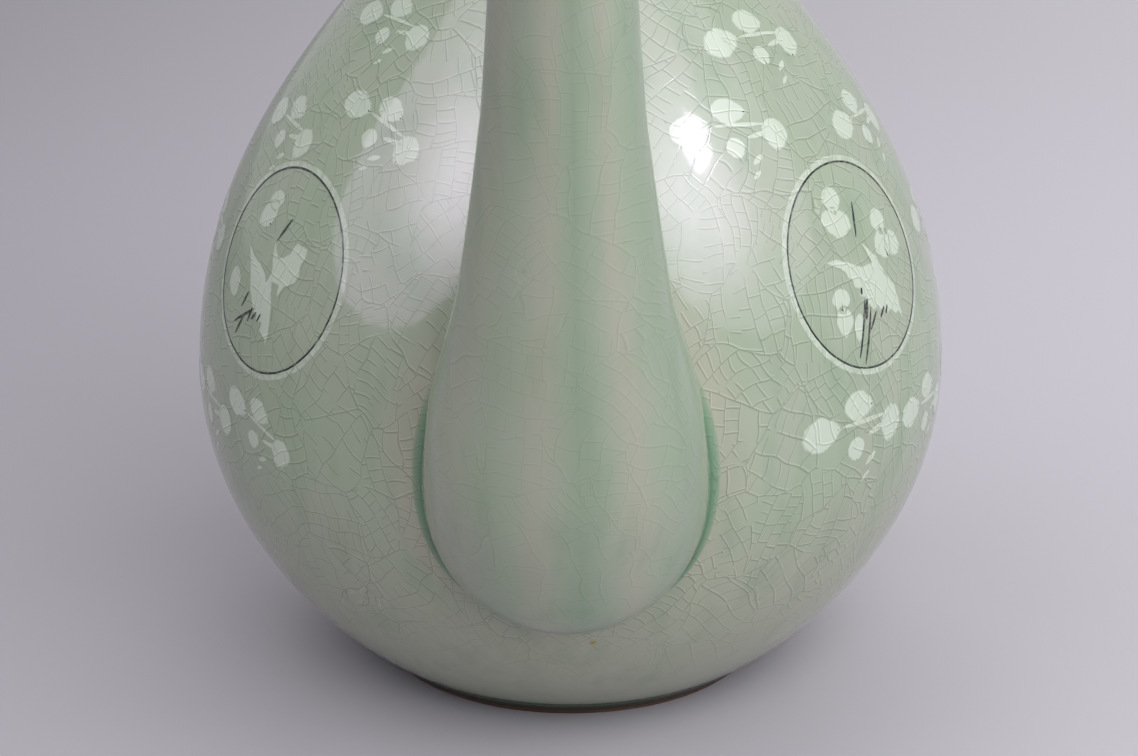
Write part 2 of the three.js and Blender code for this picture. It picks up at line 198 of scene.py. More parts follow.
class EwerColours(bpy.types.PropertyGroup):
    """Colours of the ewer's finishes and of the stage."""

    glaze: colour("Glaze", "Celadon glaze over the grey body", "9AA892")
    glaze_deep: colour("Deep glaze", "Glaze where it pools thick", "628768")
    # Painted shade: the two glazes below darken the bottom of a crease, the crease under the spout's overhang
    # and the foot's skirt, as their shadow. The foot's is also thin glaze over the brown clay.
    crease_glaze_and_shade: colour("Crease glaze", "Glaze at the bottom of a crease", "4F6E54")
    foot_glaze_and_deepest_shade: colour("Foot glaze", "Glaze over the brown clay of the foot", "38352B")
    glaze_thin: colour("Thin glaze", "Glaze where it runs thin", "9FA896")
    # Besides glaze drawn thin, this tone paints the lower bulb greyer, as light thrown up from the lavender
    # floor.
    drawn_glaze_and_floor_bounce: colour("Drawn glaze", "Glaze drawn thin beside a crease, over the warm body", "ADA899")
    iron_speck: colour("Iron speck", "Speck of iron that burnt through the glaze", "A0883A")
    white_slip: colour("White slip", "White inlay under the glaze", "BEC9B9")
    black_slip: colour("Black slip", "Black inlay under the glaze", "2B302E")
    bare_clay: colour("Bare clay", "Unglazed stoneware", "3F2C22")
    bare_clay_pale: colour("Pale bare clay", "Unglazed stoneware where it is rubbed", "6E503F")
    # One even paper, painted darker on the left and paler on the right as the light falls from the right.
    floor_shaded_left: colour("Floor left", "Paper on the left of the ewer", "97949B")
    floor_lit_right: colour("Floor right", "Paper on the right of the ewer", "C6C3CA")


def sizes():
    return bpy.context.scene.ewer_sizes


def colours():
    return bpy.context.scene.ewer_colours


# Wall lines of the bulbs, as (radius, height) points from bottom to top


def curve(start, start_handle, end_handle, end, steps):
    points = []
    for step in range(steps + 1):
        t = step / steps
        u = 1 - t
        points.append(u**3 * start + 3 * u * u * t * start_handle + 3 * u * t * t * end_handle + t**3 * end)
    return points


def at(radius, height):
    return Vector((radius, height))


def up(distance):
    return Vector((0, distance))


def leaning(distance, slope):
    return distance * Vector((math.cos(slope), math.sin(slope)))


def heights(s):
    """Heights of the belly, waist, crown, collar and rim."""
    belly = s.foot_height + s.belly_rise
    waist = belly + s.waist_rise
    crown = waist + s.crown_rise
    collar = crown + s.collar_rise
    return belly, waist, crown, collar, collar + s.collar_height


def lower_wall(s, steps):
    belly_height, waist_height = heights(s)[:2]
    base = at(s.foot_radius + s.foot_draft + s.base_ledge, s.foot_height)
    belly = at(s.belly_radius, belly_height)
    waist = at(s.waist_radius, waist_height)
    base_handle = base + leaning(s.base_fullness, s.base_slope)
    to_belly = curve(base, base_handle, belly - up(s.belly_fullness_down), belly, steps)
    to_waist = curve(belly, belly + up(s.belly_fullness_up), waist - up(s.waist_fullness_down), waist, steps)
    return to_belly + to_waist[1:]


def upper_wall(s, steps):
    waist_height, crown_height, collar_height = heights(s)[1:4]
    waist = at(s.waist_radius, waist_height)
    crown = at(s.crown_radius, crown_height)
    top = at(s.collar_radius, collar_height)
    top_handle = top + leaning(s.collar_fullness, s.collar_slope - math.pi / 2)
    to_crown = curve(waist, waist + up(s.waist_fullness_up), crown - up(s.crown_fullness_down), crown, steps)
    to_collar = curve(crown, crown + up(s.crown_fullness_up), top_handle, top, steps)
    return to_crown + to_collar[1:]


def offset(line, distance):
    """The line moved along its normals, outwards for a line that climbs an outer wall."""
    moved = []
    for i, point in enumerate(line):
        along = (line[min(i + 1, len(line) - 1)] - line[max(i - 1, 0)]).normalized()
        moved.append(point + distance * Vector((along.y, -along.x)))
    return moved


def outer_wall(s, steps):
    return lower_wall(s, steps) + upper_wall(s, steps)[1:]


def wall_radius(wall, height):
    """Radius of a wall line at a height."""
    for low, high in zip(wall, wall[1:]):
        if low.y <= height <= high.y:
            return low.x + (high.x - low.x) * (height - low.y) / (high.y - low.y)
    return 0.0


# Modelling by operators


def start_piece(name, add, **settings):
    """Adds a primitive with nothing else selected, and opens it in edit mode with all of it selected."""
    bpy.ops.object.select_all(action="DESELECT")
    add(**settings)
    piece = bpy.context.active_object
    piece.name = name
    piece.data.name = name
    bpy.ops.object.mode_set(mode="EDIT")
    bpy.ops.mesh.select_all(action="SELECT")
    return piece


def close_piece(piece):
    """Merges the piece's doubles, turns its faces outwards, and leaves edit mode with smooth shading."""
    bpy.ops.mesh.select_all(action="SELECT")
    bpy.ops.mesh.remove_doubles(threshold=0.002 * MM)
    bpy.ops.mesh.normals_make_consistent(inside=False)
    bpy.ops.object.mode_set(mode="OBJECT")
    bpy.ops.object.shade_smooth_by_angle(angle=SMOOTH_ANGLE)
    return piece


def select_where(piece, test):
    """Selects the vertices of a piece in edit mode whose places pass the test, and nothing else."""
    bpy.ops.mesh.select_all(action="DESELECT")
    mesh = bmesh.from_edit_mesh(piece.data)
    for vertex in mesh.verts:
        vertex.select_set(test(vertex.co))
    bmesh.update_edit_mesh(piece.data)


def choose(piece):
    bpy.ops.object.select_all(action="DESELECT")
    piece.select_set(True)
    bpy.context.view_layer.objects.active = piece


def turned(name, outline, steps):
    """A piece thrown on the wheel: one vertex drawn along the outline and spun about the bulbs' axis."""
    piece = start_piece(name, bpy.ops.mesh.primitive_plane_add, size=MM)
    bpy.ops.mesh.merge(type="CENTER")
    bpy.ops.transform.translate(value=(outline[0].x, AXIS.y, outline[0].y))
    for before, after in zip(outline, outline[1:]):
        step = after - before
        bpy.ops.mesh.extrude_region_move(TRANSFORM_OT_translate={"value": (step.x, 0, step.y)})
    bpy.ops.mesh.select_all(action="SELECT")
    bpy.ops.mesh.spin(steps=steps, angle=2 * math.pi, center=AXIS, axis=(0, 0, 1))
    return close_piece(piece)


def lean_selection(turn, centre):
    """Turns the selection about X. With no window the operator turns the other way."""
    bpy.ops.transform.rotate(value=-turn, orient_axis="X", orient_type="GLOBAL", center_override=centre)


def drawn_tube(name, rings, sides):
    """An open tube through rings, each a centre, a half width across X, a half depth and the depth's lean."""
    centre, width, depth, lean = rings[0]
    piece = start_piece(name, bpy.ops.mesh.primitive_circle_add, vertices=sides, radius=1)
    bpy.ops.transform.resize(value=(width, depth, 1), center_override=(0, 0, 0))
    lean_selection(lean, (0, 0, 0))
    bpy.ops.transform.translate(value=centre)
    for (start, old_width, old_depth, old_lean), (end, width, depth, lean) in zip(rings, rings[1:]):
        bpy.ops.mesh.extrude_region_move(TRANSFORM_OT_translate={"value": end - start})
        lean_selection(-old_lean, end)
        bpy.ops.transform.resize(value=(width / old_width, depth / old_depth, 1), center_override=end)
        lean_selection(lean, end)
    bpy.ops.mesh.select_all(action="DESELECT")
    bpy.ops.mesh.select_non_manifold(extend=False)
    return piece


def apply_modifier(piece, kind, **settings):
    choose(piece)
    bpy.ops.object.modifier_add(type=kind)
    modifier = piece.modifiers[-1]
    for name, value in settings.items():
        setattr(modifier, name, value)
    bpy.ops.object.modifier_apply(modifier=modifier.name)


def cut_from(piece, form):
    """Cuts a closed form out of the piece and deletes the form."""
    apply_modifier(piece, "BOOLEAN", operation="DIFFERENCE", solver="EXACT", object=form)
    bpy.data.objects.remove(form)
    choose(piece)
    bpy.ops.object.shade_smooth_by_angle(angle=SMOOTH_ANGLE)


def bulb_form(s, sunk):
    """The solid that the bulbs' outer wall encloses, drawn in by the depth that a luted piece is sunk."""
    wall = offset(outer_wall(s, WALL_STEPS), -sunk)
    return turned("fitting_form", [at(0, wall[0].y), *wall, at(0, wall[-1].y)], FORM_STEPS)


def finish_piece(piece, body, slot, *nodes):
    """Gives the piece the finish of its record slot, puts it in its body, and hides the CAD nodes that it
    stands for.
    """
    piece.data.materials.clear()
    piece.data.materials.append(finish_for(slot))
    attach(piece, body)
    if nodes:
        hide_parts(*nodes)


def set_amounts(piece, name, amounts):
    """Stores an amount from 0 to 1 at each vertex.

    pool is thick glaze, and past 0.65 painted shade in creases and round the foot; thin is glaze drawn away,
    and on the lower bulb painted light thrown up from the floor; calm is little crackle and cover is slip.
    """
    attribute = piece.data.attributes.new(name, "FLOAT", "POINT")
    attribute.data.foreach_set("value", np.clip(np.asarray(amounts, np.float32), 0, 1))


def hump(values, middle, width):
    """1 at the middle, falling smoothly to 0 within a few widths."""
    return np.exp(-(((values - middle) / width) ** 2))


def below(values, top, depth):
    """0 at the top and above it, rising to 1 at a depth below it."""
    return np.clip((top - values) / depth, 0, 1)


def vertex_places(piece):
    places = np.empty(len(piece.data.vertices) * 3, np.float32)
    piece.data.vertices.foreach_get("co", places)
    return places.reshape(-1, 3)


# Smooth lines through a few points, as the CAD draws them


def through(points, share):
    """Point at a share of the way along a centripetal spline through the points."""
    last = len(points) - 1
    place = min(share * last, last - 1e-9)
    i = int(place)
    t = place - i
    p1, p2 = points[i], points[i + 1]
    p0 = points[i - 1] if i > 0 else 2 * p1 - p2
    p3 = points[i + 2] if i + 2 <= last else 2 * p2 - p1
    d0, d1, d2 = (max(math.sqrt((b - a).length), 1e-6) for a, b in ((p0, p1), (p1, p2), (p2, p3)))
    m1 = ((p1 - p0) / d0 - (p2 - p0) / (d0 + d1) + (p2 - p1) / d1) * d1
    m2 = ((p2 - p1) / d1 - (p3 - p1) / (d1 + d2) + (p3 - p2) / d2) * d1
    return p1 + t * m1 + t * t * (3 * p2 - 3 * p1 - 2 * m1 - m2) + t**3 * (2 * p1 - 2 * p2 + m1 + m2)


def in_plane(y, z):
    return Vector((0, AXIS.y + y, z))


def ring_point(ring, turn):
    """Point of a ring at a turn from its right side."""
    centre, width, depth, lean = ring
    across = depth * math.sin(turn)
    return centre + Vector((width * math.cos(turn), across * math.cos(lean), across * math.sin(lean)))


def spout_ring(s, share, drawn_in=0.0):
    """Ring of the spout's trunk at a share of its way from inside the wall to the tip."""
    width, height, bulge, tip = s.spout_half_width, s.spout_half_height, s.spout_bulge, s.spout_tip
    base = heights(s)[0] + s.spout_base_rise

    def edge(reach, rise):
        return in_plane(-s.belly_radius - reach, base + rise)

    def out(part):
        return bulge + part * (s.spout_reach - bulge)

    def rise(part):
        return part * s.spout_rise

    stations = [
        (edge(-width, -height), edge(-1.5 * width, 0.3 * height), width),
        (edge(0.1 * bulge, -height), edge(-0.7 * width, 0.5 * height), 1.05 * width),
        (edge(0.92 * bulge, -0.42 * height), edge(-0.15 * bulge, height), 0.97 * width),
        (edge(out(0.18), rise(0.15)), edge(0.2 * bulge, 1.36 * height), 0.74 * width),
        (edge(out(0.35), rise(0.44)), edge(out(-0.12), rise(0.51)), 0.53 * width),
        (edge(out(0.57), rise(0.73)), edge(out(0.15), rise(0.79)), 0.41 * width),
        (
            edge(s.spout_reach, rise(1) - 0.5 * tip),
            edge(s.spout_reach - 1.73 * tip, rise(1) + 0.5 * tip),
            tip,
        ),
    ]
    outer = through([station[0] for station in stations], share)
    inner = through([station[1] for station in stations], share)
    half = through([Vector((station[2], 0, 0)) for station in stations], share).x
    across = inner - outer
    lean = math.atan2(across.z, across.y)
    return (outer + inner) / 2, half - drawn_in, across.length / 2 - drawn_in, lean


def handle_ring(s, share):
    """Ring of the handle's strap at a share of its way from the crown to the shoulder."""
    belly, _, crown = heights(s)[:3]
    foot = belly + s.handle_foot_rise
    reach = s.belly_radius + s.handle_reach
    bend = reach - s.crown_radius
    sunk = s.handle_thickness
    shoulder = wall_radius(lower_wall(s, WALL_STEPS), foot)
    points = [
        in_plane(s.crown_radius - sunk, crown - s.handle_arch / 3),
        in_plane(s.crown_radius + bend * 0.24, crown + s.handle_arch * 0.8),
        in_plane(reach - bend * 0.25, crown + s.handle_arch * 0.5),
        in_plane(reach, (crown + foot) / 2 + s.handle_arch),
        in_plane(reach - bend * 0.1, foot + s.handle_arch * 2.2),
        in_plane(reach - bend * 0.36, foot + s.handle_arch * 0.55),
        in_plane(shoulder - sunk, foot - s.handle_arch / 2),
    ]
    centre = through(points, share)
    nudge = 1e-3
    along = through(points, min(share + nudge, 1)) - through(points, max(share - nudge, 0))
    flare = 1 + 0.45 * abs(2 * share - 1) ** 4
    lean = math.atan2(-along.y, along.z)
    return centre, s.handle_width / 2 * flare, s.handle_thickness / 2 * flare, lean


# Pooled glaze in the crease round a luted piece, its bottom painted darker as the crease's shade


def crease_share(wall, line, start, end):
    """Share at which a line that starts inside the wall comes out of it."""

    def outside(share):
        point = line(share) - AXIS
        return math.hypot(point.x, point.y) - wall_radius(wall, point.z)

    steps = 80
    shares = [start + (end - start) * step / steps for step in range(steps + 1)]
    for low, high in zip(shares, shares[1:]):
        if outside(low) < 0 <= outside(high):
            break
    else:
        raise RuntimeError("A luted piece doesn't come out of the wall.")
    for _ in range(30):
        middle = (low + high) / 2
        if outside(middle) < 0:
            low = middle
        else:
            high = middle
    return high


def wall_normal(wall, point):
    """Outward normal of the bulbs' wall at a point."""
    nudge = 0.2 * MM
    slope = (wall_radius(wall, point.z + nudge) - wall_radius(wall, point.z - nudge)) / (2 * nudge)
    away = Vector((point.x, point.y - AXIS.y, 0)).normalized()
    return (away - Vector((0, 0, slope))).normalized()


def on_wall(wall, point, sunk):
    """The point moved level onto the wall, sunk a little into it."""
    away = Vector((point.x, point.y - AXIS.y, 0)).normalized()
    return AXIS + away * (wall_radius(wall, point.z) - sunk) + Vector((0, 0, point.z))


def crease_fillet(s, name, ring_at, start, end, pool_width):
    """A concave fillet of glaze round the place where a tube comes out of the wall.

    The widths follow pool_width(turn). The section is closed by a vertex buried in the crease.
    """
    wall = outer_wall(s, 4 * WALL_STEPS)
    around, arc = 240, 9
    turns = [2 * math.pi * i / around for i in range(around)]
    shares = [
        crease_share(wall, lambda share: ring_point(ring_at(share), turn), start, end) for turn in turns
    ]
    creases = [ring_point(ring_at(share), turn) for share, turn in zip(shares, turns)]
    middle = sum(creases, Vector()) / around
    sink = 0.08 * MM
    places, pools, thins = [], [], []
    for i, (share, turn, crease) in enumerate(zip(shares, turns, creases)):
        width = pool_width(turn)
        normal = wall_normal(wall, crease)
        along = creases[(i + 1) % around] - creases[i - 1]
        away = along.cross(normal).normalized()
        if away.dot(crease - middle) < 0:
            away = -away
        ahead = share + (end - start) * 0.01
        grow = (ring_point(ring_at(ahead), turn) - crease).length
        on_tube_share = share + (ahead - share) * width / grow
        tube_ring = ring_at(on_tube_share)
        on_tube = ring_point(tube_ring, turn)
        on_tube = on_tube + sink * (tube_ring[0] - on_tube).normalized()
        on_bulb = on_wall(wall, crease + width * away, sink)
        for step in range(arc):
            t = step / (arc - 1)
            places.append((1 - t) ** 2 * on_tube + 2 * t * (1 - t) * crease + t * t * on_bulb)
            # The glaze is deepest near the piece, and deeper where its band is narrow. The deepest amounts
            # paint the crease's shade, darkest under the spout's overhang.
            fading = min(1, 4 * t) * max(0, 1 - 1.15 * t) ** 0.5
            pools.append(fading * (1.3 - 0.3 * width / s.glaze_pool))
            thins.append(t**3 * width / s.glaze_pool)
        buried = 0.6 * MM * normal + 0.4 * MM * away
        places.append(crease - buried)
        pools.append(1.0)
        thins.append(0.0)
    piece = start_piece(name, bpy.ops.mesh.primitive_torus_add, major_segments=around, minor_segments=arc + 1)
    bpy.ops.object.mode_set(mode="OBJECT")
    piece.data.vertices.foreach_set("co", [c for place in places for c in place])
    set_amounts(piece, "pool_and_shade", pools)
    set_amounts(piece, "thin", thins)
    set_amounts(piece, "calm", [CREASE_CALM] * len(pools))
    bpy.ops.object.mode_set(mode="EDIT")
    close_piece(piece)
    thin_glaze_near(creases, [pool_width(turn) for turn in turns])
    return piece


def thin_glaze_near(creases, widths):
    """Marks the bulbs' glaze as drawn thin beside a crease, most where the crease pulled most of it in."""
    bulbs = bpy.data.objects["bulbs"]
    places = vertex_places(bulbs)
    thin = np.zeros(len(places), np.float32)
    attribute = bulbs.data.attributes.get("thin")
    if attribute:
        attribute.data.foreach_get("value", thin)
        bulbs.data.attributes.remove(attribute)
    widest = sizes().glaze_pool
    reach, thinnest = 1.4 * widest, 0.6
    for crease, width in zip(creases, widths):
        away = np.linalg.norm(places - np.asarray(crease, np.float32), axis=1)
        pull = min(thinnest, max(0, 2 * width / widest - 0.6))
        thin = np.maximum(thin, pull * hump(np.maximum(away - width, 0), 0, reach))
    set_amounts(bulbs, "thin", thin)


# Materials


def add_node(tree, kind, inputs=(), output=None, **settings):
    """Adds a node with its settings, and sets or links the inputs that it then uses, by name or in order.

    Returns the named output, or else the first one in use.
    """
    node = tree.nodes.new(kind if kind.startswith("Node") else "ShaderNode" + kind)
    for name, value in settings.items():
        setattr(node, name, value)
    used = [socket for socket in node.inputs if socket.enabled]
    for key, value in inputs.items() if isinstance(inputs, dict) else enumerate(inputs):
        socket = used[key] if isinstance(key, int) else next(one for one in used if one.name == key)
        if isinstance(value, bpy.types.NodeSocket):
            tree.links.new(value, socket)
        else:
            socket.default_value = value
    if output:
        return node.outputs[output]
    return next((socket for socket in node.outputs if socket.enabled), None)


def new_material(name):
    """A material and its node tree, which is still empty."""
    material = bpy.data.materials.new(name)
    material.use_nodes = True
    material.node_tree.nodes.clear()
    return material, material.node_tree


def crackle_group(cell):
    """Node group that draws the crackle: 1 in a crack and 0 on a cell, from a place in millimetres.

    The glaze parts into patches as it cools. Long bowed cracks cross each patch in their own direction, and
    short rungs then split the band between two long cracks, so they end at them squarely. Some never open.
    """
    # In millimetres.
    half_crack = 0.2
    patch_width, bow_width, bow_depth, healed_width = 5.5 * cell, 4.5 * cell, 2.2 * cell, 1.5 * cell
    long_least, long_most = 0.95 * cell, 1.7 * cell
    rung_least, rung_most, rung_shift = 0.7 * cell, 1.5 * cell, 3 * cell
    group = bpy.data.node_groups.new("crackle", "ShaderNodeTree")
    group.interface.new_socket("Place", in_out="INPUT", socket_type="NodeSocketVector")
    group.interface.new_socket("Calm", in_out="INPUT", socket_type="NodeSocketFloat")
    group.interface.new_socket("Crack", in_out="OUTPUT", socket_type="NodeSocketFloat")
    place, calm = add_node(group, "NodeGroupInput").node.outputs[:2]
    normal = add_node(group, "NewGeometry", output="Normal")

    def lines(place_across, gap):
        """Number of the band between two lines, number of the nearest line and millimetres to it."""
        steps = add_node(group, "Math", (place_across, gap), operation="DIVIDE")
        band = add_node(group, "Math", (steps,), operation="FLOOR")
        nearest = add_node(group, "Math", (steps,), operation="ROUND")
        aside = add_node(group, "Math", (steps, nearest), operation="SUBTRACT")
        aside = add_node(group, "Math", (aside,), operation="ABSOLUTE")
        return band, nearest, add_node(group, "Math", (aside, gap), operation="MULTIPLY")

    # Patches, and how far their rims lie along the surface.
    bow = add_node(group, "TexNoise", {"Vector": place, "Scale": 1 / bow_width, "Detail": 1.0}, "Color")
    bow = add_node(group, "VectorMath", (bow, (0.5,) * 3), operation="SUBTRACT")
    bent = add_node(group, "VectorMath", (bow, (bow_depth,) * 3, place), operation="MULTIPLY_ADD")
    seed, other = (
        add_node(group, "TexVoronoi", {"Vector": bent, "Scale": 1 / patch_width}, "Position", feature=nearest)
        for nearest in ("F1", "F2")
    )
    to_other = add_node(group, "VectorMath", (other, seed), operation="SUBTRACT")
    to_other = add_node(group, "VectorMath", (to_other,), operation="NORMALIZE")
    half_way = add_node(group, "VectorMath", (other, seed), operation="ADD")
    half_way = add_node(group, "VectorMath", (half_way, (0.5,) * 3), operation="MULTIPLY")
    to_rim = add_node(group, "VectorMath", (half_way, bent), operation="SUBTRACT")
    to_rim = add_node(group, "VectorMath", (to_rim, to_other), operation="DOT_PRODUCT")
    slant = add_node(group, "VectorMath", (to_other, normal), operation="CROSS_PRODUCT")
    slant = add_node(group, "VectorMath", (slant,), operation="LENGTH")
    rim_away = add_node(group, "Math", (to_rim, slant), operation="DIVIDE")

    # Long cracks, in a direction and at a gap of each patch's own.
    luck, heading = (
        add_node(group, "TexWhiteNoise", {"Vector": seed, "W": draw}, noise_dimensions="4D")
        for draw in (0.0, 30.0)
    )
    turn = add_node(group, "Math", (heading, math.pi), operation="MULTIPLY")
    level = add_node(group, "VectorMath", ((0.0, 0.0, 1.0), normal), operation="CROSS_PRODUCT")
    level = add_node(group, "VectorMath", (level,), operation="NORMALIZE")
    turning = {"Vector": level, "Axis": normal, "Angle": turn}
    along = add_node(group, "VectorRotate", turning, rotation_type="AXIS_ANGLE")
    across = add_node(group, "VectorMath", (normal, along), operation="CROSS_PRODUCT")
    from_seed = add_node(group, "VectorMath", (bent, seed), operation="SUBTRACT")
    long_gap = add_node(group, "Math", (luck, long_most - long_least, long_least), operation="MULTIPLY_ADD")
    long_place = add_node(group, "VectorMath", (from_seed, across), operation="DOT_PRODUCT")
    band, long_number, long_away = lines(long_place, long_gap)

    # Rungs, at a gap and a shift of each band's own.
    draws = []
    for number, first_draw in ((band, 50.0), (band, 150.0), (long_number, 250.0)):
        draw = add_node(group, "Math", (number, first_draw), operation="ADD")
        draws.append(add_node(group, "TexWhiteNoise", {"Vector": seed, "W": draw}, noise_dimensions="4D"))
    band_luck, band_shift, long_luck = draws
    rung_spread = rung_most - rung_least
    rung_gap = add_node(group, "Math", (band_luck, rung_spread, rung_least), operation="MULTIPLY_ADD")
    rung_place = add_node(group, "VectorMath", (from_seed, along), operation="DOT_PRODUCT")
    rung_place = add_node(group, "Math", (band_shift, rung_shift, rung_place), operation="MULTIPLY_ADD")
    _, rung_number, rung_away = lines(rung_place, rung_gap)
    band_colour = band_luck.node.outputs["Color"]
    far_apart = (97.0,) * 3
    rung_seed = add_node(group, "VectorMath", (band_colour, far_apart, seed), operation="MULTIPLY_ADD")
    rung_draw = {"Vector": rung_seed, "W": rung_number}
    rung_luck = add_node(group, "TexWhiteNoise", rung_draw, noise_dimensions="4D")

    # The net of cracks that opened. Each kind stays shut below a level, of a rim's slant or a crack's luck.
    net = 0.0
    for away, opened, shut in (
        (rim_away, slant, 0.3),
        (long_away, long_luck, 0.12),
        (rung_away, rung_luck, 0.22),
    ):
        width = {"Value": away, "From Max": half_crack, "To Min": 1.0, "To Max": 0.0}
        crack = add_node(group, "MapRange", width, interpolation_type="SMOOTHSTEP")
        opened = add_node(group, "Math", (opened, shut), operation="GREATER_THAN")
        crack = add_node(group, "Math", (crack, opened), operation="MULTIPLY")
        net = add_node(group, "Math", (net, crack), operation="MAXIMUM")
    healing = add_node(group, "TexNoise", {"Vector": place, "Scale": 1 / healed_width, "Detail": 1.0})
    healing = add_node(group, "MapRange", {"Value": healing, "From Min": 0.3, "From Max": 0.4})
    lively = add_node(group, "Math", (1.0, calm), operation="SUBTRACT")
    for share in (healing, lively):
        net = add_node(group, "Math", (net, share), operation="MULTIPLY")
    add_node(group, "NodeGroupOutput", (net,))
    return group


def glaze_material(name, slip=None):
    """Celadon glaze fired over a grey body: glossy and clear, greener where it pools, with a fine crackle.

    The eye sees a soft grey-green under a hard gloss, and each crack as a pale line beside a dark one, painted
    as a highlight and a shade. Crease bottoms and the foot are painted darker as their shade, and the lower
    bulb greyer as light from the floor.
    Slip under the glaze covers the body's tone, and thins out towards the edge of a brush mark.
    """
    c = colours()
    # In millimetres. The shade is how far a crack's painted dark line lies from its pale one, as if each crack
    # were lit from one side.
    cloud_width, streak_width, streak_length, grain_width, wave_width = 16, 7, 32, 1.4, 5
    crack_shade = (0.18, 0.18, 0.26)
    material, tree = new_material(name)
    place = add_node(tree, "TexCoord", output="Object")
    millimetres = add_node(tree, "VectorMath", (place, (1 / MM,) * 3), operation="MULTIPLY")
    pool_and_shade, thin, calm, cover = (
        add_node(tree, "Attribute", output="Fac", attribute_name=amount)
        for amount in ("pool_and_shade", "thin", "calm", "cover")
    )
    crackle = bpy.data.node_groups.get("crackle") or crackle_group(sizes().crackle_cell / MM)
    beside = add_node(tree, "VectorMath", (millimetres, crack_shade), operation="ADD")
    crack_with_painted_highlight, painted_crack_shade = (
        add_node(tree, "Group", (where, calm), node_tree=crackle) for where in (millimetres, beside)
    )

    # Tones laid over the glaze's own, each with its share.
    clouds = add_node(tree, "TexNoise", {"Vector": millimetres, "Scale": 1 / cloud_width, "Detail": 3.0})
    clouds = add_node(tree, "MapRange", {"Value": clouds, "From Min": 0.35, "From Max": 0.65})
    stretch = (1 / streak_width, 1 / streak_width, 1 / streak_length)
    streaks = add_node(tree, "VectorMath", (millimetres, stretch), operation="MULTIPLY")
    streaks = add_node(tree, "TexNoise", {"Vector": streaks, "Scale": 1.0, "Detail": 2.0})
    faint = {"Value": streaks, "From Min": 0.5, "From Max": 0.75, "To Max": 0.25}
    streaks = add_node(tree, "MapRange", faint)
    tones = [(clouds, c.glaze_thin), (thin, c.drawn_glaze_and_floor_bounce), (streaks, c.glaze_deep)]
    # Pooled glaze turns deeper green; past 0.65 the amount paints shade, at the bottom of a crease and round
    # the foot.
    for low, high, deep in ((0.0, 0.7, c.glaze_deep), (0.65, 0.9, c.crease_glaze_and_shade), (0.9, 1.0, c.foot_glaze_and_deepest_shade)):
        depth = add_node(tree, "MapRange", {"Value": pool_and_shade, "From Min": low, "From Max": high})
        tones.append((depth, deep))
    speck = add_node(tree, "VectorMath", (millimetres, SPECK_PLACE / MM), operation="DISTANCE")
    blot = {"Value": speck, "From Min": 0.3, "From Max": 0.75, "To Min": 1.0, "To Max": 0.0}
    tones.append((add_node(tree, "MapRange", blot), c.iron_speck))
    if slip:
        grit = {"Vector": millimetres, "Scale": 1 / grain_width, "Detail": 3.0, "Roughness": 0.65}
        worn = add_node(tree, "Math", (cover, add_node(tree, "TexNoise", grit)), operation="ADD")
        tones.append((add_node(tree, "MapRange", {"Value": worn, "From Min": 0.65, "From Max": 1.05}), slip))
    tone = c.glaze
    for share, over in tones:
        tone = add_node(tree, "Mix", (share, tone, over), data_type="RGBA")
    # Painted light: each crack is painted paler as a highlight, and the shifted crack beside it darker as its
    # shade.
    for crack, change in ((crack_with_painted_highlight, 1.2), (painted_crack_shade, 0.67)):
        tint = add_node(tree, "MapRange", {"Value": crack, "To Min": 1.0, "To Max": change})
        tone = add_node(tree, "Mix", (1.0, tone, tint), data_type="RGBA", blend_type="MULTIPLY")

    # Shallow waves in the gloss, and cracks that dip into it.
    waves = add_node(tree, "TexNoise", {"Vector": millimetres, "Scale": 1 / wave_width, "Detail": 1.0})
    bump = add_node(tree, "Bump", {"Height": waves, "Strength": 1.0, "Distance": 0.05 * MM})
    dip = {"Height": crack_with_painted_highlight, "Strength": 0.15, "Distance": 0.05 * MM, "Normal": bump}
    bump = add_node(tree, "Bump", dip, invert=True)
    gloss = {"Base Color": tone, "Normal": bump, "Roughness": 0.08, "IOR": 1.5}
    add_node(tree, "OutputMaterial", (add_node(tree, "BsdfPrincipled", gloss),))
    return material


def clay_material(name):
    """Bare stoneware, fired brown: matt and gritty, paler where it was wiped."""
    grit_width, stain_width = 0.8 * MM, 9 * MM
    material, tree = new_material(name)
    place = add_node(tree, "TexCoord", output="Object")
    grit = add_node(tree, "TexNoise", {"Vector": place, "Scale": 1 / grit_width, "Detail": 4.0})
    stain = add_node(tree, "TexNoise", {"Vector": place, "Scale": 1 / stain_width, "Detail": 3.0})
    tone = add_node(tree, "Mix", (stain, colours().bare_clay, colours().bare_clay_pale), data_type="RGBA")
    bump = add_node(tree, "Bump", {"Height": grit, "Strength": 0.5, "Distance": 0.2 * MM})
    matt = {"Base Color": tone, "Normal": bump, "Roughness": 0.85}
    add_node(tree, "OutputMaterial", (add_node(tree, "BsdfPrincipled", matt),))
    return material


# The finish's name for each slot of the record.
FINISHES = {
    "celadon_glaze": "crackled_celadon",
    "white_inlay": "white_slip_under_glaze",
    "black_inlay": "black_slip_under_glaze",
    "bare_stoneware": "brown_stoneware",
}


def finish_for(slot):
    """The finish of a slot in the record, made once."""
    name = FINISHES[slot]
    made = bpy.data.materials.get(name)
    if made:
        return made
    if slot == "bare_stoneware":
        return clay_material(name)
    slips = {"white_inlay": colours().white_slip, "black_inlay": colours().black_slip}
    return glaze_material(name, slips.get(slot))


# Slip inlay. A mark is a brush drop: middle x and y, length, width and the turn of its tip, in millimetres
# and degrees, with x to the right and y up as seen from outside. A stroke is two ends and a width.

CLOUD_LOBES = (
    (-8.6, 1.5, 9.5, 6.5, 0),
    (0.3, 4.0, 8.0, 5.5, -10),
    (8.8, -1.6, 7.2, 6.6, -100),
    (-0.8, -3.2, 4.6, 4.5, -85),
    (3.0, -5.9, 3.5, 1.2, -147),
    (1.9, -8.7, 2.6, 0.9, -144),
)
CLOUD_STEMS = ((-4.0, 1.5, 7.0, 0.7, 0.8), (2.4, -1.5, 7.5, -0.8, 1.0))

